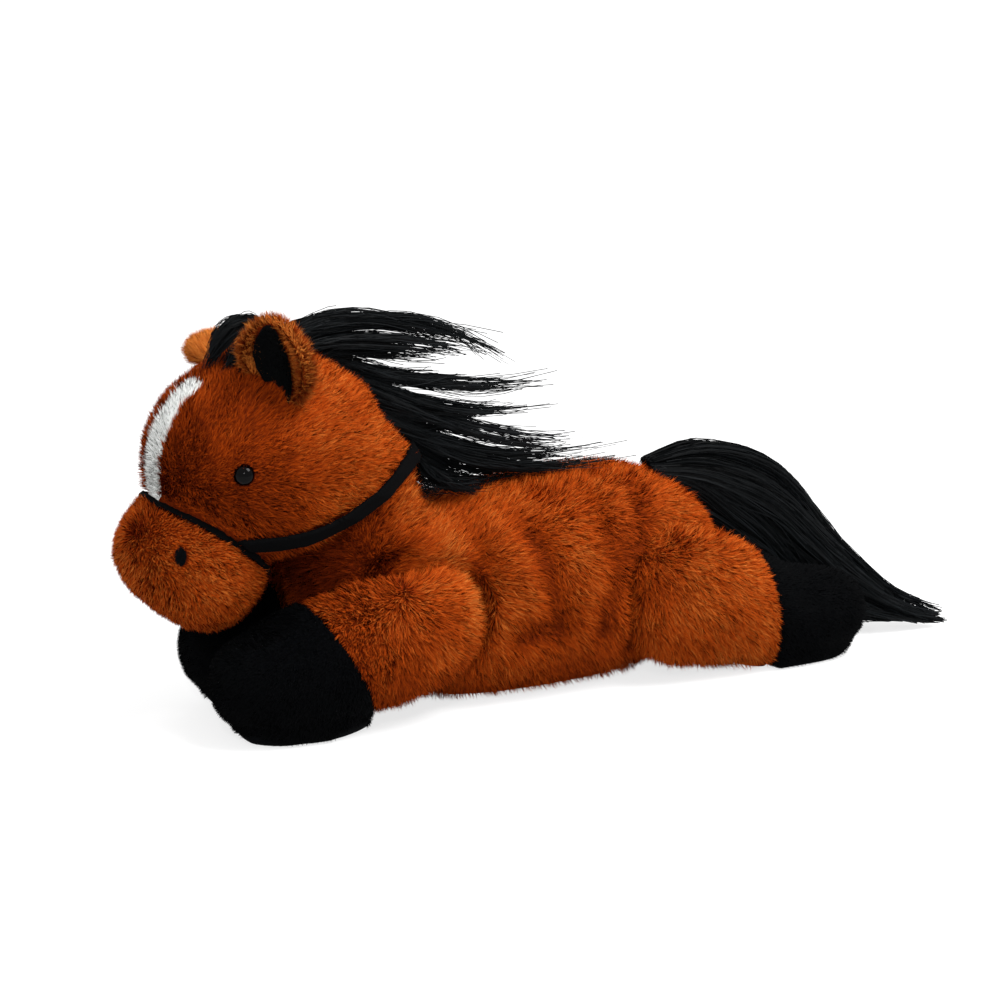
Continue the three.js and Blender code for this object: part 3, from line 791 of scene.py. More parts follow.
def tone_and_painted_shading_of(skin, mesh, places):
    """How much darker the strands are than elsewhere: mostly painted shade and painted light, with some plain
    darkening.
    """
    # Painted light makes the ears' pile paler
    shade = np.full(len(places), EAR_PAINTED_LIGHT if skin.body.endswith("ear") else 0.0)
    if skin.name == "body" or "front_leg" in skin.name:
        # A painted highlight on the ridge behind the shoulder
        way, off = off_shoulder(places)
        behind = ramped(way[:, 1], 0, SHOULDER_SOFTNESS)
        shade -= SHOULDER_PAINTED_HIGHLIGHT * bell(off, SHOULDER_RIDGE, SHOULDER_SOFTNESS) * behind
        # The body and front legs a little darker all over, and painted shade towards the floor
        shade += BODY_DARKENING + FLOOR_PAINTED_SHADE * ramped(places[:, 2], FLOOR_PAINTED_SHADE_TOP, 0)
    if skin.name == "body":
        # A painted shadow of the head on the throat, and painted shade and light from the folds
        throat = 1 - near(places, spot("body_skin", *THROAT_SPOT), *THROAT_REACH)
        shade += FOLD_PAINTED_SHADE * values_of(mesh, "fold") + THROAT_PAINTED_SHADOW * throat
    if skin.name == "head":
        # The face darker towards its middle
        shade += FACE_DARKENING * (1 - near(places, spot("head_skin", *FACE_SPOT), *FACE_REACH))
    return shade


def mark_pile(piece, skin, around):
    """Writes on the cloth how the pile grows."""
    mesh = piece.data
    places = places_of(mesh)
    normals = normals_of(mesh)
    trims = [solids_tree((node,)) for node in TRIMS] if skin.body == "head" else ()
    cover = open_cloth(places, normals, around, trims)
    cover *= 1 - (places[:, 2] < PRESSED_HEIGHT) * (normals[:, 2] < FACING_DOWN)
    # How much darker each place's strands are: mostly painted shade and painted light, with some plain
    # darkening
    put_values(mesh, "shade", tone_and_painted_shading_of(skin, mesh, places))
    put_values(mesh, "cover", cover)
    put_values(mesh, "reach", reach_of(skin, places))
    put_values(mesh, "comb", comb_of(skin.name, places), "FLOAT_VECTOR")


# One coat of strands. A strand has as many rows of faces as joints. Gather draws it to the middle of its
# tuft and messy turns it at random. Density, width and length are shares of the pile's
Coat = namedtuple("Coat", "name joints density width length gather messy")
COATS = (
    Coat("pile", joints=1, density=1.0, width=1.0, length=0.92, gather=0.16, messy=0.3),
    Coat("tips", joints=2, density=0.2, width=0.75, length=1.15, gather=0.3, messy=0.28),
)
TUFT = 5.5 * MM
EAR_FINENESS = 1.5
DARK_PILE_WIDTH = 0.8

# A leaf's tip is above this height, and its middle leans out by these shares of its height
LEAF_TIP = 0.4
LEAF_LEAN = 0.35
LEAF_LEAN_END = 0.75
LEAF_TAPER = 0.25

# How far a strand stands up, lies along its comb, drifts with its neighbours and turns about itself
STAND = 0.8
LAY = 0.62
DRIFT = 1.0
DRIFT_SCALE = 60.0
SELF_TURN = 0.7
SHORTEST = 0.65

# A strand's tint: of its patch of cloth, its own, and its place's shade, which is mostly painted shade and
# painted light
PATCH_SCALE = 35.0
PATCH_SHARE = 0.5
LOWEST_TINT = 0.22
OWN_TINT = 0.26
SHADE_TINT = 0.4

# How much of a strand's own facing shows beside the cloth's
OWN_FACING = 0.55


def blade(joints):
    """One strand: a narrow leaf of unit length that stands on its root and bends over."""
    form = bmesh.new()
    chart = form.loops.layers.uv.new(CHART)
    bmesh.ops.create_grid(form, x_segments=1, y_segments=joints, size=0.5)
    top = [point for point in form.verts if point.co.y > LEAF_TIP]
    bmesh.ops.pointmerge(form, verts=top, merge_co=Vector((0, 0.5, 0)))
    for face in form.faces:
        for loop in face.loops:
            loop[chart].uv = (loop.vert.co.x + 0.5, loop.vert.co.y + 0.5)
    for point in form.verts:
        up = point.co.y + 0.5
        lean = LEAF_LEAN * up * (LEAF_LEAN_END - up)
        point.co = Vector((lean, point.co.x * (1 - LEAF_TAPER * up), up))
    return new_piece("blade", form)


def strand_turns(tree, place, normal, coat, clump, seed):
    """Turns strands: they stand up, lean the way they are combed and gather in tufts."""
    cells = wire(tree, "ShaderNodeTexVoronoi", {"Vector": place, "Scale": 1 / clump}, voronoi_dimensions="3D")
    gather = arrow(tree, "SUBTRACT", cells.outputs["Position"], place)
    drift = wire(tree, "ShaderNodeTexNoise", {"Vector": place, "Scale": DRIFT_SCALE, "Detail": 1.0})
    drift = arrow(tree, "SUBTRACT", drift.outputs["Color"], (0.5, 0.5, 0.5))
    lean = stretched(tree, named(tree, "comb", "FLOAT_VECTOR"), LAY)
    lean = arrow(tree, "ADD", lean, stretched(tree, gather, coat.gather / clump))
    lean = arrow(tree, "ADD", lean, stretched(tree, drift, DRIFT))
    lean = arrow(tree, "ADD", lean, random_way(tree, coat.messy, seed + 1))
    inward = stretched(tree, normal, arrow(tree, "DOT_PRODUCT", lean, normal))
    lean = arrow(tree, "SUBTRACT", lean, inward)
    way = arrow(tree, "ADD", stretched(tree, normal, STAND), lean)
    side = arrow(tree, "ADD", normal, random_way(tree, SELF_TURN, seed + 2))
    axes = {"Primary Axis": way, "Secondary Axis": side}
    turn = wire(tree, "FunctionNodeAxesToRotation", axes, primary_axis="Z", secondary_axis="X")
    return turn.outputs[0]


def strand_sizes(tree, coat, length, width, seed):
    tall = chance(tree, SHORTEST * length, length, seed + 3)
    tall = number(tree, "MULTIPLY", number(tree, "MULTIPLY", named(tree, "reach"), tall), coat.length)
    return wire(tree, "ShaderNodeCombineXYZ", {"X": tall, "Y": width * coat.width, "Z": tall}).outputs[0]


def strand_tints(tree, place, seed):
    """A tint from 0, the deepest, to 1, the palest."""
    patch = wire(tree, "ShaderNodeTexNoise", {"Vector": place, "Scale": PATCH_SCALE, "Detail": 2.0})
    tint = number(tree, "MULTIPLY_ADD", patch.outputs[0], PATCH_SHARE, LOWEST_TINT)
    tint = number(tree, "ADD", tint, chance(tree, -OWN_TINT, OWN_TINT, seed + 4))
    # The place's shade, mostly painted shade and painted light, darkens or pales the tint
    tint = number(tree, "SUBTRACT", tint, number(tree, "MULTIPLY", named(tree, "shade"), SHADE_TINT))
    return wire(tree, "ShaderNodeClamp", {0: tint}).outputs[0]


def kept_off_floor(tree, strands, place):
    parts = wire(tree, "ShaderNodeSeparateXYZ", {0: place}).outputs
    height = number(tree, "MAXIMUM", parts[2], FLOOR_CLEARANCE)
    lifted = wire(tree, "ShaderNodeCombineXYZ", {"X": parts[0], "Y": parts[1], "Z": height}).outputs[0]
    return wire(tree, "GeometryNodeSetPosition", {"Geometry": strands, "Position": lifted}).outputs[0]


def pile_tree(leaf, coat, length, width, density, clump, seed):
    """Scatters strands over a cloth."""
    tree, cloth, out = geometry_tree("pile")
    thick = number(tree, "MULTIPLY", named(tree, "cover"), density * coat.density)
    scattering = {"Mesh": cloth, "Density": thick, "Seed": seed}
    scatter = wire(tree, "GeometryNodeDistributePointsOnFaces", scattering).outputs
    place = wire(tree, "GeometryNodeInputPosition").outputs[0]
    leaves = wire(tree, "GeometryNodeObjectInfo", {"Object": leaf}).outputs["Geometry"]
    planting = {
        "Points": scatter["Points"],
        "Instance": leaves,
        "Rotation": strand_turns(tree, place, scatter["Normal"], coat, clump, seed),
        "Scale": strand_sizes(tree, coat, length, width, seed),
    }
    strands = wire(tree, "GeometryNodeInstanceOnPoints", planting).outputs[0]
    strands = stored(tree, strands, "tint", strand_tints(tree, place, seed), domain="INSTANCE")
    facing = named(tree, "skin_normal", "FLOAT_VECTOR")
    strands = stored(tree, strands, "skin_normal", facing, "FLOAT_VECTOR", "INSTANCE")
    strands = wire(tree, "GeometryNodeRealizeInstances", {0: strands}).outputs[0]
    strands = kept_off_floor(tree, strands, place)
    given = wire(tree, "ShaderNodeSeparateXYZ", {0: named(tree, CHART, "FLOAT_VECTOR")}).outputs
    strands = charted(tree, strands, named(tree, "tint"), given[0], given[1])
    tree.links.new(strands, out.inputs[0])
    return tree


def soften_shading(pile):
    """Strands shade mostly like the cloth under them, so a tuft reads as a soft mass."""
    mesh = pile.data
    flat = np.empty(len(mesh.vertices) * 3, dtype=np.float32)
    mesh.attributes["skin_normal"].data.foreach_get("vector", flat)
    cloth = flat.reshape(-1, 3)
    own = normals_of(mesh)
    facing = np.sign(np.sum(own * cloth, axis=1, keepdims=True))
    mixed = unit(cloth + OWN_FACING * own * np.where(facing == 0, 1, facing))
    mesh.normals_split_custom_set_from_vertices(mixed.tolist())


MARKS = ("cover", "reach", "comb", "fold", "shade", "tint", "skin_normal")


def grow_pile(piece, skin, name, coat, leaf, finish, cover):
    """One coat of pile on a skin, as a piece of its own."""
    sizes = pile_sizes()
    fine = EAR_FINENESS if skin.body.endswith("ear") else 1
    width = sizes.width / fine * (1 if skin.finish == "ginger" else DARK_PILE_WIDTH)
    tree = pile_tree(leaf, coat, sizes.length, width, sizes.density * fine, TUFT / fine, SEED + len(name))
    pile = bpy.data.objects.new(name, piece.data.copy())
    bpy.context.scene.collection.objects.link(pile)
    put_values(pile.data, "skin_normal", normals_of(pile.data), "FLOAT_VECTOR")
    put_values(pile.data, "cover", cover)
    pile.data.materials.clear()
    grower = pile.modifiers.new("pile", "NODES")
    grower.node_group = tree
    applied(pile)
    bpy.data.node_groups.remove(tree)
    soften_shading(pile)
    for mark in MARKS:
        if mark in pile.data.attributes:
            pile.data.attributes.remove(pile.data.attributes[mark])
    dress(pile, finish)
    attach(pile, skin.body)
    return pile


# Finishes


def new_finish(name):
    """A material with its surface shader."""
    finish = bpy.data.materials.new(name)
    finish.use_nodes = True
    tree = finish.node_tree
    return finish, tree, tree.nodes["Principled BSDF"]


def set_surface(surface, roughness, shine=0.5):
    surface.inputs["Roughness"].default_value = roughness
    surface.inputs["Specular IOR Level"].default_value = shine


def object_noise(tree, scale, detail=2.0):
    place = wire(tree, "ShaderNodeTexCoord").outputs["Object"]
    made = wire(tree, "ShaderNodeTexNoise", {"Vector": place, "Scale": scale, "Detail": detail})
    return made.outputs["Fac"]


def ramp(tree, share, *stops):
    """Colours along a share from 0 to 1."""
    made = wire(tree, "ShaderNodeValToRGB", {0: share})
    while len(made.color_ramp.elements) < len(stops):
        made.color_ramp.elements.new(0.5)
    for element, (position, colour) in zip(made.color_ramp.elements, stops):
        element.position = position
        element.color = colour
    return made.outputs["Color"]


def two_tone(tree, share, first, second, start=0.3, end=0.7):
    """The first colour up to the start, and the second from the end on."""
    return ramp(tree, share, (start, first), (end, second))


def coloured(tree, colour, surface):
    tree.links.new(colour, surface.inputs["Base Color"])


def multiplied(tree, first, second):
    made = wire(tree, "ShaderNodeMix", {0: 1.0, 6: first, 7: second}, data_type="RGBA", blend_type="MULTIPLY")
    return made.outputs[2]


def roughened(tree, surface, height, strength, distance):
    bump = wire(tree, "ShaderNodeBump", {"Height": height, "Strength": strength, "Distance": distance})
    tree.links.new(bump.outputs[0], surface.inputs["Normal"])


# How a strand's colour grows from its root, which is painted shade, towards its tip: how far it has come at
# which share of its length
GROWN_AT = 0.55
GROWN_BY = 0.7
PATCHES_SCALE = 28.0
KNIT_SCALE = 900.0
WEAVE_SCALE = 1600.0
# Painted shade at a ginger strand's root, where strands shadow each other
GINGER_PAINTED_ROOT_SHADE = (0.4, 0.24, 0.14, 1)


def strand_finish(name, colours, root, roughness, shine, patchy=0.86):
    """Strands that run from a dark root to a pale tip, each with its own tint; root multiplies it as painted
    shade near the cloth.
    """
    finish, tree, surface = new_finish(name)
    chart = wire(tree, "ShaderNodeUVMap", uv_map=CHART).outputs[0]
    parts = wire(tree, "ShaderNodeSeparateXYZ", {0: chart}).outputs
    tint = ramp(tree, parts[0], *((i / (len(colours) - 1), colour) for i, colour in enumerate(colours)))
    halfway = [(1 - GROWN_BY) * share + GROWN_BY for share in root[:3]] + [1]
    along = ramp(tree, parts[1], (0.0, root), (GROWN_AT, halfway), (1.0, WHITE))
    patch = two_tone(tree, object_noise(tree, PATCHES_SCALE), grey(patchy), WHITE)
    coloured(tree, multiplied(tree, multiplied(tree, tint, along), patch), surface)
    set_surface(surface, roughness, shine)
    return finish


def ginger_finish():
    sizes = pile_sizes()
    tints = (sizes.ginger_deep, sizes.ginger, sizes.ginger_light)
    return strand_finish("ginger pile", tints, GINGER_PAINTED_ROOT_SHADE, roughness=0.8, shine=0.04)


def blaze_finish():
    white = pile_sizes().white
    tints = (shaded(white, 0.95), white)
    return strand_finish("white pile", tints, WHITE, roughness=0.8, shine=0.1, patchy=0.97)


def hoof_finish():
    dark = trim_sizes().hoof
    # The grey root is painted shade near the cloth
    return strand_finish("black pile", (shaded(dark, 0.4), dark), grey(0.4), roughness=0.85, shine=0.06)


def hair_finish():
    dark = trim_sizes().hair
    tints = (shaded(dark, 0.35), dark, shaded(dark, 1.6))
    # The grey root is painted shade near the cloth
    return strand_finish("black hair", tints, grey(0.6), roughness=0.6, shine=0.08)


def lining_finish():
    dark = trim_sizes().lining
    # The grey root is painted shade near the cloth
    return strand_finish("black velvet", (shaded(dark, 0.5), dark), grey(0.5), roughness=0.9, shine=0.06)


def backing_finish(name, colour):
    """The knitted cloth that carries the pile."""
    finish, tree, surface = new_finish(name)
    knit = object_noise(tree, KNIT_SCALE, detail=1.0)
    coloured(tree, two_tone(tree, knit, shaded(colour, 0.6), tuple(colour), start=0.35, end=0.65), surface)
    set_surface(surface, roughness=0.95, shine=0.04)
    roughened(tree, surface, knit, strength=0.4, distance=0.3 * MM)
    return finish


def ribbon_finish():
    """Matt ribbon with a fine weave."""
    finish, tree, surface = new_finish("black ribbon")
    dark = trim_sizes().ribbon
    weave = object_noise(tree, WEAVE_SCALE, detail=1.0)
    coloured(tree, two_tone(tree, weave, shaded(dark, 0.55), tuple(dark)), surface)
    set_surface(surface, roughness=0.9, shine=0.04)
    roughened(tree, surface, weave, strength=0.35, distance=0.15 * MM)
    return finish


def eye_finish():
    """Polished black plastic, a touch brown in places."""
    finish, tree, surface = new_finish("polished black")
    tone = object_noise(tree, scale=60.0)
    coloured(tree, two_tone(tree, tone, paint(0, 0, 1), paint(3, 2, 2), end=0.75), surface)
    set_surface(surface, roughness=0.03, shine=0.08)
    return finish


def washer_finish():
    """Pale moulded plastic."""
    finish, tree, surface = new_finish("moulded washer")
    tone = object_noise(tree, scale=200.0)
    coloured(tree, two_tone(tree, tone, paint(216, 216, 210), paint(226, 226, 221)), surface)
    set_surface(surface, roughness=0.45)
    roughened(tree, surface, tone, strength=0.1, distance=0.1 * MM)
    return finish


# Face and halter

EYE_WIDENING = 1.02
EYE_RISE = 0.82
EYE_STEPS = 14
EYE_TURNS = 48
EYE_PROUD = 0.3 * MM
RIM_DEPTH = 0.5
RIM_WIDTH = 0.9

NOSTRIL_GRID = 0.5 * MM
NOSTRIL_SMOOTHING = 3
NOSTRIL_PROUD = -0.5 * MM
NOSTRIL_DEPTH = 1.6 * MM

STRAP_GRID = 0.8 * MM
STRAP_SMOOTHING = 4
STRAPS_PROUD = {"noseband": -0.5 * MM, "cheek_strap": 0.6 * MM}
NOSEBAND_SHARE = 0.955


def eye_dome(side):
    """A glossy dome spun round the eye's own axis, over a short shank."""
    low, high = BOXES[f"{side}_eye"]
    seat = middle(f"{side}_eye")
    outward = (seat - middle(f"{side}_eye_washer")).normalized()
    radius = (high.z - low.z) / 2 * EYE_WIDENING
    rise = radius * EYE_RISE
    form = bmesh.new()
    turns = [math.pi / 2 * i / EYE_STEPS for i in range(EYE_STEPS + 1)]
    arc = [(radius * math.cos(turn), 0, rise * math.sin(turn)) for turn in turns]
    rim = [(0, 0, -radius * RIM_DEPTH), (radius * RIM_WIDTH, 0, -radius * RIM_DEPTH)]
    profile = [form.verts.new(place) for place in (*rim, *arc)]
    edges = [form.edges.new(pair) for pair in zip(profile, profile[1:])]
    bmesh.ops.spin(
        form,
        geom=[*profile, *edges],
        cent=(0, 0, 0),
        axis=(0, 0, 1),
        angle=math.tau,
        steps=EYE_TURNS,
        use_merge=True,
    )
    bmesh.ops.remove_doubles(form, verts=form.verts, dist=WELD)
    bmesh.ops.recalc_face_normals(form, faces=form.faces)
    turn = outward.to_track_quat("Z", "Y").to_matrix()
    bmesh.ops.rotate(form, verts=form.verts, cent=(0, 0, 0), matrix=turn)
    bmesh.ops.translate(form, verts=form.verts, vec=seat + outward * EYE_PROUD)
    return new_piece(f"{side}_eye_dome", form)


def fine_copy(name, node, grid, smoothing, proud):
    """A solid's copy with small even faces and rounded edges, swollen a little or drawn in."""
    piece = even_copy(name, (node,), grid, smoothing)
    put_places(piece.data, places_of(piece.data) + normals_of(piece.data) * proud)
    piece.data.shade_smooth()
    return piece


def sink_in_pile(band):
    """Draws the noseband in towards its own middle, into the pile."""
    places = places_of(band.data)
    centre = places.mean(axis=0)
    put_places(band.data, centre + (places - centre) * NOSEBAND_SHARE)


# Hair

# A strand of hair tapers to its end, is tilted about itself at random, and waves slowly
HAIR_TAPER = 0.85
HAIR_TILT = 0.9
WAVE_PACE = 0.35
WAVE_SEEDS = 100

# How far off the crest's middle a ray starts that looks for the skin
OUTSIDE = 0.2


def on_crest(surface, degrees, aside):
    """The place and outward way on the crest, at an angle from straight up towards the nape."""
    centre = middle("head_skin")
    centre.x = aside
    turn = math.radians(degrees)
    way = Vector((0, math.sin(turn), math.cos(turn)))
    hit = surface.ray_cast(centre + way * OUTSIDE, -way)
    return hit[0], hit[1]


def bent(start, first, last, end, steps, stop=1):
    """Points along a smooth bend with two handles, up to a share of its length."""
    shares = [stop * i / (steps - 1) for i in range(steps)]
    return [
        start * (1 - t) ** 3 + first * 3 * t * (1 - t) ** 2 + last * 3 * t * t * (1 - t) + end * t**3
        for t in shares
    ]


def seeded(seed):
    """A random source. The noise that waves the hair starts from the same seed, not from the clock."""
    noise.seed_set(seed)
    return random.Random(seed)


def waved(points, wave, rng):
    """Gives a strand a slow wave of its own."""
    seed = rng.uniform(0, WAVE_SEEDS)
    return [
        point + noise.noise_vector(Vector((seed, i * WAVE_PACE, 0))) * wave * (i / len(points))
        for i, point in enumerate(points)
    ]


def strand_lines(name, strands):
    """Curves along the strands' points, as a piece."""
    lines = bpy.data.curves.new(name, "CURVE")
    lines.dimensions = "3D"
    rng = random.Random(SEED)
    for points in strands:
        count = len(points)
        spline = lines.splines.new("POLY")
        spline.points.add(count - 1)
        spline.points.foreach_set("co", [value for point in points for value in (*point, 1)])
        thin = [1 - HAIR_TAPER * (i / (count - 1)) ** 3 for i in range(count)]
        spline.points.foreach_set("radius", thin)
        spline.points.foreach_set("tilt", [rng.uniform(-HAIR_TILT, HAIR_TILT)] * count)
    piece = bpy.data.objects.new(name, lines)
    bpy.context.scene.collection.objects.link(piece)
    return piece


def hair_tree(lines, width):
    """Turns lines into flat ribbons."""
    tree, _, out = geometry_tree("hair")
    hair = wire(tree, "GeometryNodeObjectInfo", {"Object": lines}).outputs["Geometry"]
    along = wire(tree, "GeometryNodeSplineParameter").outputs["Factor"]
    hair = stored(tree, hair, "along", along)
    hair = stored(tree, hair, "tint", chance(tree, 0.0, 1.0, SEED), domain="CURVE")
    ends = {"Start": (0, -width / 2, 0), "End": (0, width / 2, 0)}
    line = wire(tree, "GeometryNodeCurvePrimitiveLine", ends).outputs[0]
    line = stored(tree, line, "across", along)
    hair = wire(tree, "GeometryNodeCurveToMesh", {"Curve": hair, "Profile Curve": line}).outputs[0]
    hair = charted(tree, hair, named(tree, "tint"), named(tree, "across"), named(tree, "along"))
    tree.links.new(hair, out.inputs[0])
    return tree


def strands_mesh(name, strands, width):
    """Flat tapering strands along lists of points, as one mesh."""
    lines = strand_lines(name + "_lines", strands)
    tree = hair_tree(lines, width)
    piece = bpy.data.objects.new(name, bpy.data.meshes.new(name))
    bpy.context.scene.collection.objects.link(piece)
    maker = piece.modifiers.new("hair", "NODES")
    maker.node_group = tree
    applied(piece)
    bpy.data.objects.remove(lines)
    bpy.data.node_groups.remove(tree)
    piece.data.shade_smooth()
    return piece


# Locks of hair. Each grows at an angle on the crest, from the poll towards the nape, rises by a share
# of its length, and passes a halfway place to its tip: both are shares of the hair's box
Lock = namedtuple("Lock", "degrees lift across halfway tip")
MANE_LOCKS = (
    Lock(-14, 0.22, 0.4, (0.26, 1.0), (0.6, 0.77)),
    Lock(-6, 0.16, 0.4, (0.37, 0.95), (0.72, 0.63)),
    Lock(4, 0.12, 0.7, (0.33, 0.87), (0.62, 0.72)),
    Lock(14, 0.1, 0.35, (0.33, 0.78), (0.56, 0.68)),
    Lock(24, 0.09, 0.65, (0.33, 0.66), (0.5, 0.6)),
    Lock(34, 0.09, 0.4, (0.46, 0.56), (0.84, 0.46)),
    Lock(43, 0.08, 0.6, (0.45, 0.47), (0.8, 0.34)),
    Lock(52, 0.08, 0.35, (0.44, 0.37), (0.66, 0.37)),
    Lock(61, 0.06, 0.7, (0.57, 0.27), (0.88, 0.1)),
    Lock(69, 0.05, 0.4, (0.55, 0.18), (0.94, 0.0)),
    Lock(77, 0.04, 0.6, (0.57, 0.08), (1.03, -0.05)),
    Lock(85, 0.04, 0.35, (0.55, 0.03), (0.86, -0.06)),
    Lock(93, 0.03, 0.9, (0.51, 0.0), (0.7, -0.08)),
    Lock(98, 0.02, 0.95, (0.46, 0.0), (0.58, -0.07)),
)
FORELOCK_LOCKS = (
    Lock(-4, 0.24, 0.7, (0.6, 1.0), (0.24, 0.26)),
    Lock(-8, 0.16, 0.9, (0.74, 0.76), (0.32, 0.14)),
    Lock(-9, 0.14, 1.0, (0.78, 0.7), (0.42, 0.12)),
    Lock(-10, 0.12, 1.1, (0.82, 0.66), (0.52, 0.1)),
    Lock(-12, 0.1, 1.2, (0.86, 0.6), (0.62, 0.1)),
)

# How loose the hair's ends are
MANE_LOOSE = 1
FORELOCK_LOOSE = 0.25

WISPS = 12
WISP_STRANDS = 40
HAIR_STEPS = 12
ROOT_SPREAD = 8 * MM
ROOT_ANGLES = 4
ROOT_ASIDE = 1.5 * MM
ROOT_DEPTH = 2 * MM
LOCK_SPREAD = Vector((4, 2.2, 1.9)) * MM
TIP_SPREAD = Vector((3.5, 10, 1.9)) * MM
STRAND_SPREAD = Vector((0.7, 0.7, 0.6)) * MM
STRAYS = 0.08
STRAY_SPREAD = 4
NEAT_SPREAD = 0.7
ROOT_HANDLE = 0.45
CUT_SHARE = 0.6
LOCK_WAVE = 2.5 * MM


def scattered(place, spread, rng):
    """A place moved at random by about the spread."""
    return place + Vector([rng.gauss(0, 1) * part for part in spread])


def lock_strands(node, surface, lock, loose, rng):
    """The strands of one lock, in wisps that part from each other and end in points."""
    strands = []
    for _ in range(WISPS):
        halfway = scattered(spot(node, lock.across, *lock.halfway), LOCK_SPREAD, rng)
        tip = scattered(spot(node, lock.across, *lock.tip), TIP_SPREAD * loose, rng)
        aside = rng.uniform(-1, 1) * ROOT_SPREAD
        for _ in range(WISP_STRANDS):
            degrees = lock.degrees + rng.gauss(0, ROOT_ANGLES)
            root, normal = on_crest(surface, degrees, aside + rng.gauss(0, ROOT_ASIDE))
            root -= normal * ROOT_DEPTH
            through = scattered(halfway, STRAND_SPREAD, rng)
            spread = STRAND_SPREAD * (STRAY_SPREAD if rng.random() < STRAYS else NEAT_SPREAD)
            end = scattered(tip, spread, rng)
            first = root.lerp(through, ROOT_HANDLE) + normal * lock.lift * (through - root).length
            # The handle that takes the bend through its halfway place
            last = (through * 8 - root - end - first * 3) / 3
            stop = 1 - (1 - rng.random() ** 2) * CUT_SHARE * loose
            strands.append(waved(bent(root, first, last, end, HAIR_STEPS, stop), LOCK_WAVE, rng))
    return strands


def hair_strands(node, locks, loose):
    rng = seeded(SEED)
    surface = solids_tree(HEAD_NODES)
    return [strand for lock in locks for strand in lock_strands(node, surface, lock, loose, rng)]


# The tail's middle line as shares of its box, with half widths and heights as shares of the largest
TAIL_LINE = (
    (0.44, -0.02, 0.93, 0.4, 0.3),
    (0.44, 0.16, 0.86, 0.85, 0.8),
    (0.44, 0.38, 0.65, 1.0, 1.0),
    (0.5, 0.6, 0.33, 0.9, 0.85),
    (0.74, 0.8, 0.12, 0.65, 0.42),
    (1.0, 1.0, 0.03, 0.2, 0.14),
)
TAIL_HALF_WIDTH = 20 * MM
TAIL_HALF_HEIGHT = 24 * MM
TAIL_SLOPE = 0.45
TAIL_STRANDS = 5600
TAIL_TUFTS = 80
TAIL_WAVE = 7 * MM
TAIL_WAVE_PACE = 5
STRAND_WAVE = 2.2 * MM
TAIL_STEPS = 16
TAIL_HAIR_WIDTH = 1.2

# Strands of one tuft keep near it, start near its root and end at different lengths
Tuft = namedtuple("Tuft", "turn out swirl seed reach")
TUFT_LEAST_OUT = 0.2
TUFT_SWIRL = 0.5
TUFT_CUT = 0.45
TUFT_CUT_POWER = 1.6
TURN_SPREAD = 0.12
OUT_SPREAD = 0.06
MOST_OUT = 1.02
LATEST_START = 0.25
START_POWER = 1.5
STRAND_CUT = 0.3


def smooth_between(rows, share):
    """The row at a share of the way along a table, on a smooth curve through its rows."""
    at = share * (len(rows) - 1)
    i = min(int(at), len(rows) - 2)
    t = at - i
    a, b, c, d = (np.array(rows[min(max(i + k, 0), len(rows) - 1)]) for k in (-1, 0, 1, 2))
    return 0.5 * (2 * b + (c - a) * t + (2 * a - 5 * b + 4 * c - d) * t * t + (3 * b - a - 3 * c + d) * t**3)


def tail_strand(tuft, rng):
    turn = tuft.turn + rng.gauss(0, TURN_SPREAD)
    out = min(tuft.out + rng.gauss(0, OUT_SPREAD), MOST_OUT)
    start = rng.uniform(0, LATEST_START) ** START_POWER
    stop = tuft.reach * (1 - rng.random() * STRAND_CUT)
    points = []
    for i in range(TAIL_STEPS):
        share = start + (stop - start) * i / (TAIL_STEPS - 1)
        across, along, up, wide, high = smooth_between(TAIL_LINE, share)
        bend = turn + tuft.swirl * share
        side = math.cos(bend) * wide * TAIL_HALF_WIDTH * out
        rise = math.sin(bend) * high * TAIL_HALF_HEIGHT * out
        slope = TAIL_SLOPE * math.sin(share * math.pi)
        point = spot("tail", across, along, up) + Vector((side, rise * slope, rise))
        wave = noise.noise_vector(Vector((tuft.seed, share * TAIL_WAVE_PACE, 0)))
        point += wave * TAIL_WAVE * share
        point.z = max(point.z, STRAND_WAVE + FLOOR_CLEARANCE)
        points.append(point)
    return waved(points, STRAND_WAVE, rng)


def tail_tuft(rng):
    return Tuft(
        turn=rng.uniform(0, math.tau),
        out=math.sqrt(rng.uniform(TUFT_LEAST_OUT, 1)),
        swirl=rng.gauss(0, TUFT_SWIRL),
        seed=rng.uniform(0, WAVE_SEEDS),
        reach=1 - rng.random() ** TUFT_CUT_POWER * TUFT_CUT,
    )


def tail_strands():
    rng = seeded(SEED + 2)
    tufts = [tail_tuft(rng) for _ in range(TAIL_TUFTS)]
    return [tail_strand(tuft, rng) for tuft in tufts for _ in range(TAIL_STRANDS // TAIL_TUFTS)]


# Steps


class PLUSH_OT_skins(bpy.types.Operator):
    """Makes the stuffed cloth forms of body, head, muzzle, legs, hooves and ears"""

    bl_idname = "plush.skins"
    bl_label = "Skins"

    def execute(self, context):
        pieces = [cloth_form(skin) for skin in SKINS]
        around = surroundings(pieces)
        for piece, skin in zip(pieces, SKINS):
            sink_backing(piece, skin, around[skin.name])
        inflate([piece for piece, skin in zip(pieces, SKINS) if not skin.body.endswith("ear")])
        sizes, trim = pile_sizes(), trim_sizes()
        finishes = {
            # The ginger backing takes the deep ginger as painted shade under the pile
            "ginger": backing_finish("ginger backing", sizes.ginger_deep),
            "hoof": backing_finish("hoof backing", trim.hoof),
            "lining": backing_finish("lining backing", trim.lining),
        }
        for piece, skin in zip(pieces, SKINS):
            finish_skin(piece, skin)
            mark_pile(piece, skin, around[skin.name])
            dress(piece, finishes[skin.finish])
            if skin.name == "head":
                piece.data.materials.append(backing_finish("blaze backing", sizes.white))
                for face in piece.data.polygons:
                    face.material_index = int(on_blaze(np.array([face.center]))[0])
        return {"FINISHED"}


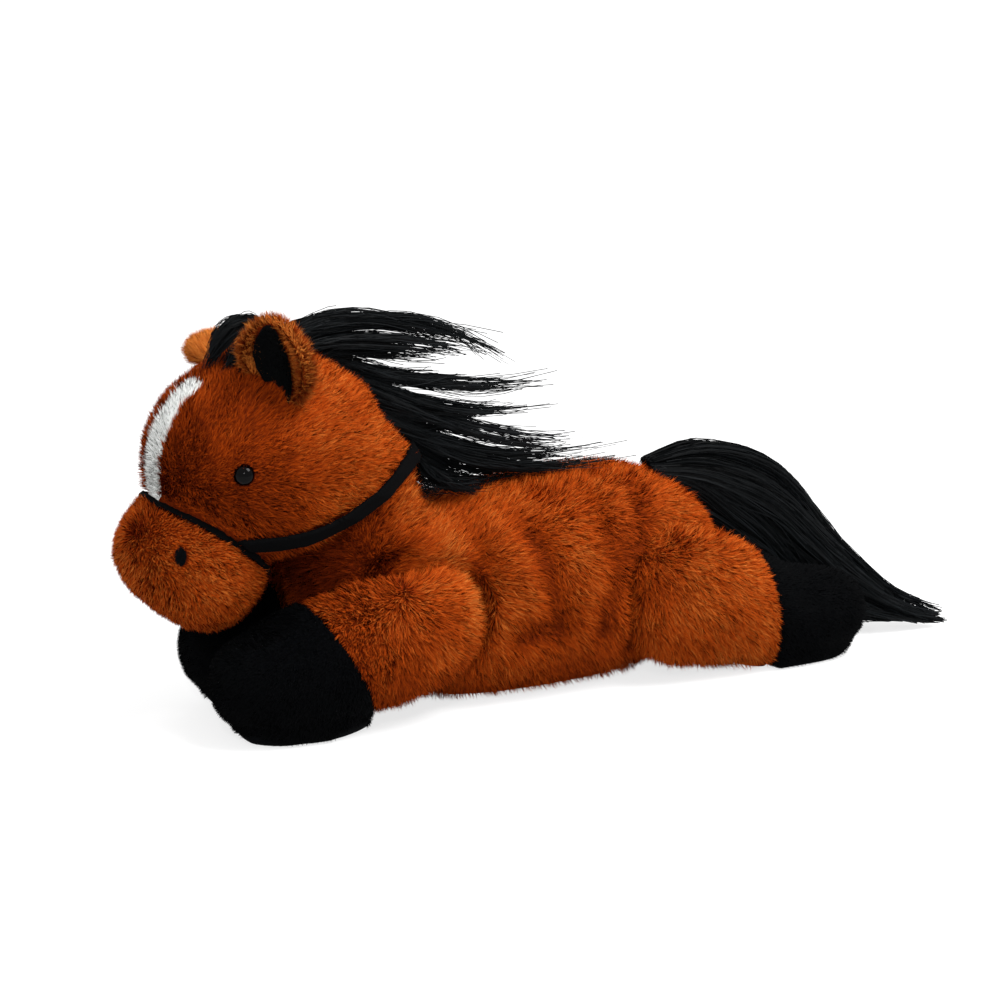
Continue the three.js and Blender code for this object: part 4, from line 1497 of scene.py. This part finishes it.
class PLUSH_OT_pile(bpy.types.Operator):
    """Grows the pile on every skin"""

    bl_idname = "plush.pile"
    bl_label = "Pile"

    def execute(self, context):
        finishes = {"ginger": ginger_finish(), "hoof": hoof_finish(), "lining": lining_finish()}
        white = blaze_finish()
        for coat in COATS:
            leaf = blade(coat.joints)
            for skin in SKINS:
                cloth = bpy.data.objects[skin.name]
                cover = values_of(cloth.data, "cover")
                if skin.name == "head":
                    blaze = on_blaze(places_of(cloth.data))
                    grow_pile(cloth, skin, f"blaze_{coat.name}", coat, leaf, white, cover * blaze)
                    cover = cover * (1 - blaze)
                if coat.name == "pile" or skin.finish == "ginger":
                    name = f"{skin.name}_{coat.name}"
                    grow_pile(cloth, skin, name, coat, leaf, finishes[skin.finish], cover)
            bpy.data.objects.remove(leaf)
        return {"FINISHED"}


class PLUSH_OT_eyes(bpy.types.Operator):
    """Makes the domed eyes and gives their washers a finish"""

    bl_idname = "plush.eyes"
    bl_label = "Eyes"

    def execute(self, context):
        black, pale = eye_finish(), washer_finish()
        for side in SIDES:
            dome = eye_dome(side)
            dress(dome, black)
            dome.data.shade_smooth()
            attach(dome, "head")
            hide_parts(f"{side}_eye")
            for place in NODES[f"{side}_eye_washer"].material_slots:
                place.material = pale
        return {"FINISHED"}


class PLUSH_OT_nostrils(bpy.types.Operator):
    """Makes the stitched nostrils"""

    bl_idname = "plush.nostrils"
    bl_label = "Nostrils"

    def execute(self, context):
        black = backing_finish("nostril thread", trim_sizes().hoof)
        for side in SIDES:
            node = f"{side}_nostril"
            nostril = fine_copy(f"{node}_stitch", node, NOSTRIL_GRID, NOSTRIL_SMOOTHING, NOSTRIL_PROUD)
            inward = (middle("muzzle_stuffing") - middle(node)).normalized()
            put_places(nostril.data, places_of(nostril.data) + np.array(inward) * NOSTRIL_DEPTH)
            dress(nostril, black)
            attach(nostril, "head")
            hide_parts(node)
        return {"FINISHED"}


class PLUSH_OT_halter(bpy.types.Operator):
    """Makes the noseband and the cheek strap"""

    bl_idname = "plush.halter"
    bl_label = "Halter"

    def execute(self, context):
        black = ribbon_finish()
        for node, proud in STRAPS_PROUD.items():
            strap = fine_copy(f"{node}_ribbon", node, STRAP_GRID, STRAP_SMOOTHING, proud)
            if node == "noseband":
                sink_in_pile(strap)
            dress(strap, black)
            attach(strap, "head")
            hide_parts(node)
        return {"FINISHED"}


class PLUSH_OT_mane(bpy.types.Operator):
    """Makes the mane and the forelock"""

    bl_idname = "plush.mane"
    bl_label = "Mane and forelock"

    def execute(self, context):
        black = hair_finish()
        width = trim_sizes().hair_width
        for node, locks, loose in (
            ("mane", MANE_LOCKS, MANE_LOOSE),
            ("forelock", FORELOCK_LOCKS, FORELOCK_LOOSE),
        ):
            hair = strands_mesh(f"{node}_hair", hair_strands(node, locks, loose), width)
            dress(hair, black)
            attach(hair, "head")
            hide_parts(node)
        return {"FINISHED"}


class PLUSH_OT_tail(bpy.types.Operator):
    """Makes the tail, whose root stays on the rump"""

    bl_idname = "plush.tail"
    bl_label = "Tail"

    def execute(self, context):
        width = trim_sizes().hair_width * TAIL_HAIR_WIDTH
        black = hair_finish()
        hair = strands_mesh("tail_hair", tail_strands(), width)
        dress(hair, black)
        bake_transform(hair)
        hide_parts("tail")
        return {"FINISHED"}


# Stage

CAMERA_AIM = Vector((0, -16, 95)) * MM
CAMERA_DISTANCE = 1875 * MM
CAMERA_AZIMUTH = math.radians(62)
CAMERA_ELEVATION = math.radians(15)
CAMERA_LENS = 135
FLOOR_SIZE = 30
KEY_PLACE = Vector((0.95, 0.55, 1.8))
KEY_SIZE = 1.0
KEY_WATTS = 50
GLINT_PLACE = Vector((1.6, -1.1, 1.2))
GLINT_SIZE = 0.12
GLINT_WATTS = 9
SKY = 0.92
FLOOR_GLOW = 0.74
FLOOR_TONE = 0.34
FLOOR_GREYS = (0.45, 0.46)


def floor_finish():
    """A pale floor that shows white to the camera and keeps the object's shadow."""
    finish, tree, surface = new_finish("pale floor")
    dark, pale = (grey(tone) for tone in FLOOR_GREYS)
    coloured(tree, two_tone(tree, object_noise(tree, scale=3.0), dark, pale, start=0, end=1), surface)
    set_surface(surface, roughness=0.9)
    shown = wire(tree, "ShaderNodeBsdfDiffuse", {"Color": grey(FLOOR_TONE)}).outputs[0]
    glow = wire(tree, "ShaderNodeEmission", {"Color": grey(FLOOR_GLOW)}).outputs[0]
    bright = wire(tree, "ShaderNodeAddShader", {0: shown, 1: glow}).outputs[0]
    rays = wire(tree, "ShaderNodeLightPath").outputs
    seen = number(tree, "MAXIMUM", rays["Is Camera Ray"], rays["Is Glossy Ray"])
    mix = wire(tree, "ShaderNodeMixShader", {0: seen, 1: surface.outputs[0], 2: bright}).outputs[0]
    tree.links.new(mix, tree.nodes["Material Output"].inputs["Surface"])
    return finish


def add_floor():
    form = bmesh.new()
    bmesh.ops.create_grid(form, x_segments=1, y_segments=1, size=FLOOR_SIZE / 2)
    floor = new_piece("floor", form)
    floor.data.materials.append(floor_finish())


def add_world():
    world = bpy.data.worlds.new("studio")
    world.use_nodes = True
    tree = world.node_tree
    backdrop = tree.nodes["Background"]
    backdrop.inputs["Color"].default_value = WHITE
    rays = wire(tree, "ShaderNodeLightPath").outputs
    seen = number(tree, "MAXIMUM", rays["Is Camera Ray"], rays["Is Glossy Ray"])
    level = number(tree, "ADD", number(tree, "MULTIPLY", seen, 1 - SKY), SKY)
    tree.links.new(level, backdrop.inputs["Strength"])
    bpy.context.scene.world = world


def add_lamp(name, place, size, watts):
    lamp = bpy.data.lights.new(name, "AREA")
    lamp.size = size
    lamp.energy = watts
    key = bpy.data.objects.new(name, lamp)
    key.location = place
    key.rotation_euler = (CAMERA_AIM - place).to_track_quat("-Z", "Y").to_euler()
    bpy.context.scene.collection.objects.link(key)


def add_camera():
    flat = math.cos(CAMERA_ELEVATION)
    back = Vector((
        math.sin(CAMERA_AZIMUTH) * flat,
        -math.cos(CAMERA_AZIMUTH) * flat,
        math.sin(CAMERA_ELEVATION),
    ))
    lens = bpy.data.cameras.new("camera")
    lens.lens = CAMERA_LENS
    lens.clip_end = FLOOR_SIZE * 2
    camera = bpy.data.objects.new("camera", lens)
    camera.location = CAMERA_AIM + back * CAMERA_DISTANCE
    camera.rotation_euler = (-back).to_track_quat("-Z", "Y").to_euler()
    bpy.context.scene.collection.objects.link(camera)
    bpy.context.scene.camera = camera


class PLUSH_OT_stage(bpy.types.Operator):
    """Makes the floor, the soft studio light and the camera"""

    bl_idname = "plush.stage"
    bl_label = "Stage"

    def execute(self, context):
        context.scene.view_settings.view_transform = "Standard"
        add_floor()
        add_world()
        add_lamp("soft key", KEY_PLACE, KEY_SIZE, KEY_WATTS)
        add_lamp("glint", GLINT_PLACE, GLINT_SIZE, GLINT_WATTS)
        add_camera()
        return {"FINISHED"}


OPERATORS = (
    PLUSH_OT_skins,
    PLUSH_OT_pile,
    PLUSH_OT_eyes,
    PLUSH_OT_nostrils,
    PLUSH_OT_halter,
    PLUSH_OT_mane,
    PLUSH_OT_tail,
    PLUSH_OT_stage,
)


class PLUSH_PT_pieces(bpy.types.Panel):
    """Lists the steps that make the horse"""

    bl_label = "Plush horse"
    bl_idname = "PLUSH_PT_pieces"
    bl_space_type = "VIEW_3D"
    bl_region_type = "UI"
    bl_category = "Plush"

    def draw(self, context):
        for operator in OPERATORS:
            self.layout.operator(operator.bl_idname)
        for group in (context.scene.plush_pile, context.scene.plush_trim):
            for name in group.__annotations__:
                self.layout.prop(group, name)


CLASSES = (PlushPile, PlushTrim, *OPERATORS, PLUSH_PT_pieces)


def register():
    for item in CLASSES:
        bpy.utils.register_class(item)
    bpy.types.Scene.plush_pile = bpy.props.PointerProperty(type=PlushPile)
    bpy.types.Scene.plush_trim = bpy.props.PointerProperty(type=PlushTrim)


def unregister():
    del bpy.types.Scene.plush_trim
    del bpy.types.Scene.plush_pile
    for item in reversed(CLASSES):
        bpy.utils.unregister_class(item)


def main():
    register()
    bpy.ops.plush.skins()
    bpy.ops.plush.pile()
    bpy.ops.plush.eyes()
    bpy.ops.plush.nostrils()
    bpy.ops.plush.halter()
    bpy.ops.plush.mane()
    bpy.ops.plush.tail()
    bpy.ops.plush.stage()


if __name__ == "__main__":
    main()
